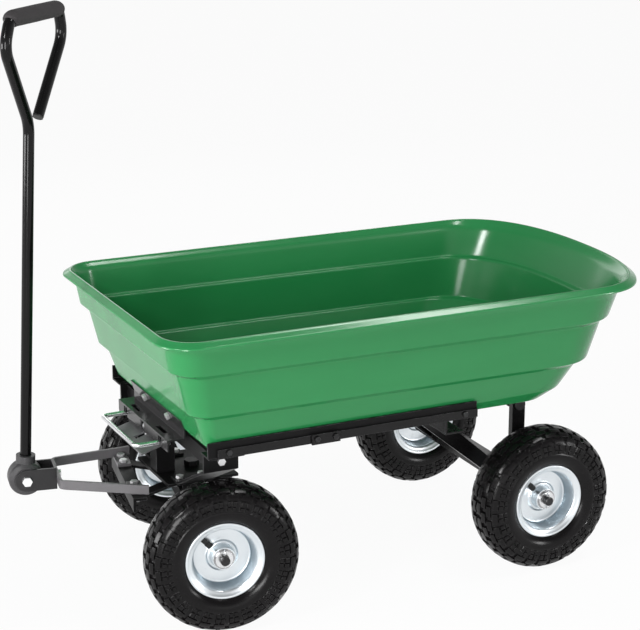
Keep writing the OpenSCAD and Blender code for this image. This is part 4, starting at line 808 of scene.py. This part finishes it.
def in_view(tree):
    """The Light Path node of a tree, and 1 for the rays of the camera, of gloss and of glass."""
    ray = tree.nodes.new("ShaderNodeLightPath")
    seen = math_of(tree, "MAXIMUM", ray.outputs["Is Camera Ray"], ray.outputs["Is Glossy Ray"])
    return ray, math_of(tree, "MAXIMUM", seen, ray.outputs["Is Transmission Ray"])


def studio_floor():
    """A wide floor with a faint mottle; what is in view is mostly plain white and partly the lit floor."""
    made, tree, shader = finish_of("studio_floor")
    grain = used(tree, GRAIN, Fine=30.0, Broad=0.8)
    tree.links.new(tinted(tree, grain.outputs["Drift"], (0.86, 0.86, 0.86), (0.90, 0.90, 0.90)),
                   shader.inputs["Base Color"])
    shader.inputs["Roughness"].default_value = 0.9
    shader.inputs["Specular IOR Level"].default_value = 0.0
    glow = placed(tree, "ShaderNodeEmission", Strength=1.0)
    glow.inputs["Color"].default_value = (1.0, 1.0, 1.0, 1.0)
    plain = math_of(tree, "MULTIPLY", in_view(tree)[1], PLAIN_SHARE)
    both = placed(tree, "ShaderNodeMixShader", [(0, plain), (1, shader.outputs[0]), (2, glow.outputs[0])])
    tree.links.new(both.outputs[0], tree.nodes["Material Output"].inputs["Surface"])
    return made


span = FLOOR_HALF * np.linspace(-1.0, 1.0, FLOOR_LINES)
east, north = np.meshgrid(span, span)
plane = np.stack([east, north, np.zeros_like(east)], axis=-1)
cell = np.arange(FLOOR_LINES ** 2).reshape(FLOOR_LINES, FLOOR_LINES)
tiles = np.stack([cell[:-1, :-1], cell[:-1, 1:], cell[1:, 1:], cell[1:, :-1]], axis=-1).reshape(-1, 4)
floor_mesh = bpy.data.meshes.new("studio_floor")
floor_mesh.from_pydata(plane.reshape(-1, 3).tolist(), [], tiles.tolist())
floor_mesh.materials.append(studio_floor())
floor = bpy.data.objects.new("studio_floor", floor_mesh)
bpy.context.scene.collection.objects.link(floor)


# Light: seven soft boxes. A small one stands high on the left, a wide one low beside it, a long one
# overhead, a tall one in front on the left, a small one on the right, a faint wide one in front and a
# long one behind. The room adds a plain level that falls off overhead.
def stood(place, right, back):
    """The place of a lamp or camera: its right, its up and its back as columns, then where it stands."""
    columns = np.column_stack([right, np.cross(back, right), back, place])
    return Matrix(np.vstack([columns, [0.0, 0.0, 0.0, 1.0]]).tolist())


def soft_box(name, place, aim, size, watts):
    """An area lamp at a place, turned so that it faces a point."""
    lamp = bpy.data.lights.new(name, "AREA")
    lamp.shape = "RECTANGLE"
    lamp.size, lamp.size_y, lamp.energy = size[0], size[1], watts
    made = bpy.data.objects.new(name, lamp)
    back = np.array(place, float) - np.array(aim, float)
    back /= np.linalg.norm(back)
    right = np.cross([0.0, 0.0, 1.0], back)
    right /= np.linalg.norm(right)
    made.matrix_world = stood(place, right, back)
    bpy.context.scene.collection.objects.link(made)


soft_box("key_box", (-3.0, -1.5, 2.4), (0.0, 0.0, 0.4), (0.5, 0.6), 44.0)
soft_box("left_box", (-3.6, 0.3, 0.6), (-0.3, 0.0, 0.4), (1.4, 0.8), 60.0)
soft_box("top_box", (1.25, -0.9, 3.4), (0.0, 0.0, 0.4), (1.6, 0.4), 40.0)
soft_box("tall_box", (-2.1, -2.5, 0.65), (-0.28, -0.2, 0.4), (0.75, 1.2), 46.0)
soft_box("side_box", (2.4, -2.5, 0.85), (0.0, 0.0, 0.3), (0.5, 0.7), 19.0)
soft_box("low_box", (-0.7, -3.4, 0.55), (0.0, 0.0, 0.35), (2.4, 0.7), 4.0)
soft_box("back_box", (0.6, 3.2, 1.5), (0.0, 0.0, 0.4), (3.0, 0.9), 14.0)

ROOM_LEVEL, OVERHEAD_LEVEL, OVERHEAD_SPAN = 0.42, 0.28, (0.02, 0.55)
room = bpy.data.worlds.new("room")
bpy.context.scene.world = room
room.use_nodes = True
sky = room.node_tree
for old in list(sky.nodes):
    sky.nodes.remove(old)
ray, open_view = in_view(sky)
toward = sky.nodes.new("ShaderNodeTexCoord").outputs["Generated"]
heading = placed(sky, "ShaderNodeSeparateXYZ", [(0, toward)])
overhead = ranged(sky, heading.outputs["Z"], *OVERHEAD_SPAN, 1.0, OVERHEAD_LEVEL)
level = math_of(sky, "MULTIPLY", ranged(sky, open_view, 0.0, 1.0, ROOM_LEVEL, 1.0),
                math_of(sky, "MAXIMUM", ray.outputs["Is Camera Ray"], overhead))
pale = placed(sky, "ShaderNodeBackground", [("Strength", level)])
pale.inputs["Color"].default_value = (1.0, 1.0, 1.0, 1.0)
sky.links.new(pale.outputs[0], sky.nodes.new("ShaderNodeOutputWorld").inputs["Surface"])
bpy.context.scene.view_settings.view_transform = "Standard"


# Camera: stands where the photograph was taken, worked out from the wheels, the tray's rim and the handle.
# Its focal length is in pixels of a frame of 640 by 630.
AZIMUTH, ELEVATION = np.radians(-25.43), np.radians(16.36)
STAND = (-1.38858, -2.9271, 1.3961)
FOCAL_PX, FRAME_PX, SENSOR = 1901.78, 640.0, 36.0
lens = bpy.data.cameras.new("camera")
lens.sensor_fit, lens.sensor_width = "HORIZONTAL", SENSOR
lens.lens = SENSOR * FOCAL_PX / FRAME_PX
lens.clip_end = 100.0
viewer = bpy.data.objects.new("camera", lens)
back = np.array([np.sin(AZIMUTH) * np.cos(ELEVATION), -np.cos(AZIMUTH) * np.cos(ELEVATION),
                 np.sin(ELEVATION)])
right = np.array([np.cos(AZIMUTH), np.sin(AZIMUTH), 0.0])
viewer.matrix_world = stood(STAND, right, back)
bpy.context.scene.collection.objects.link(viewer)
bpy.context.scene.camera = viewer
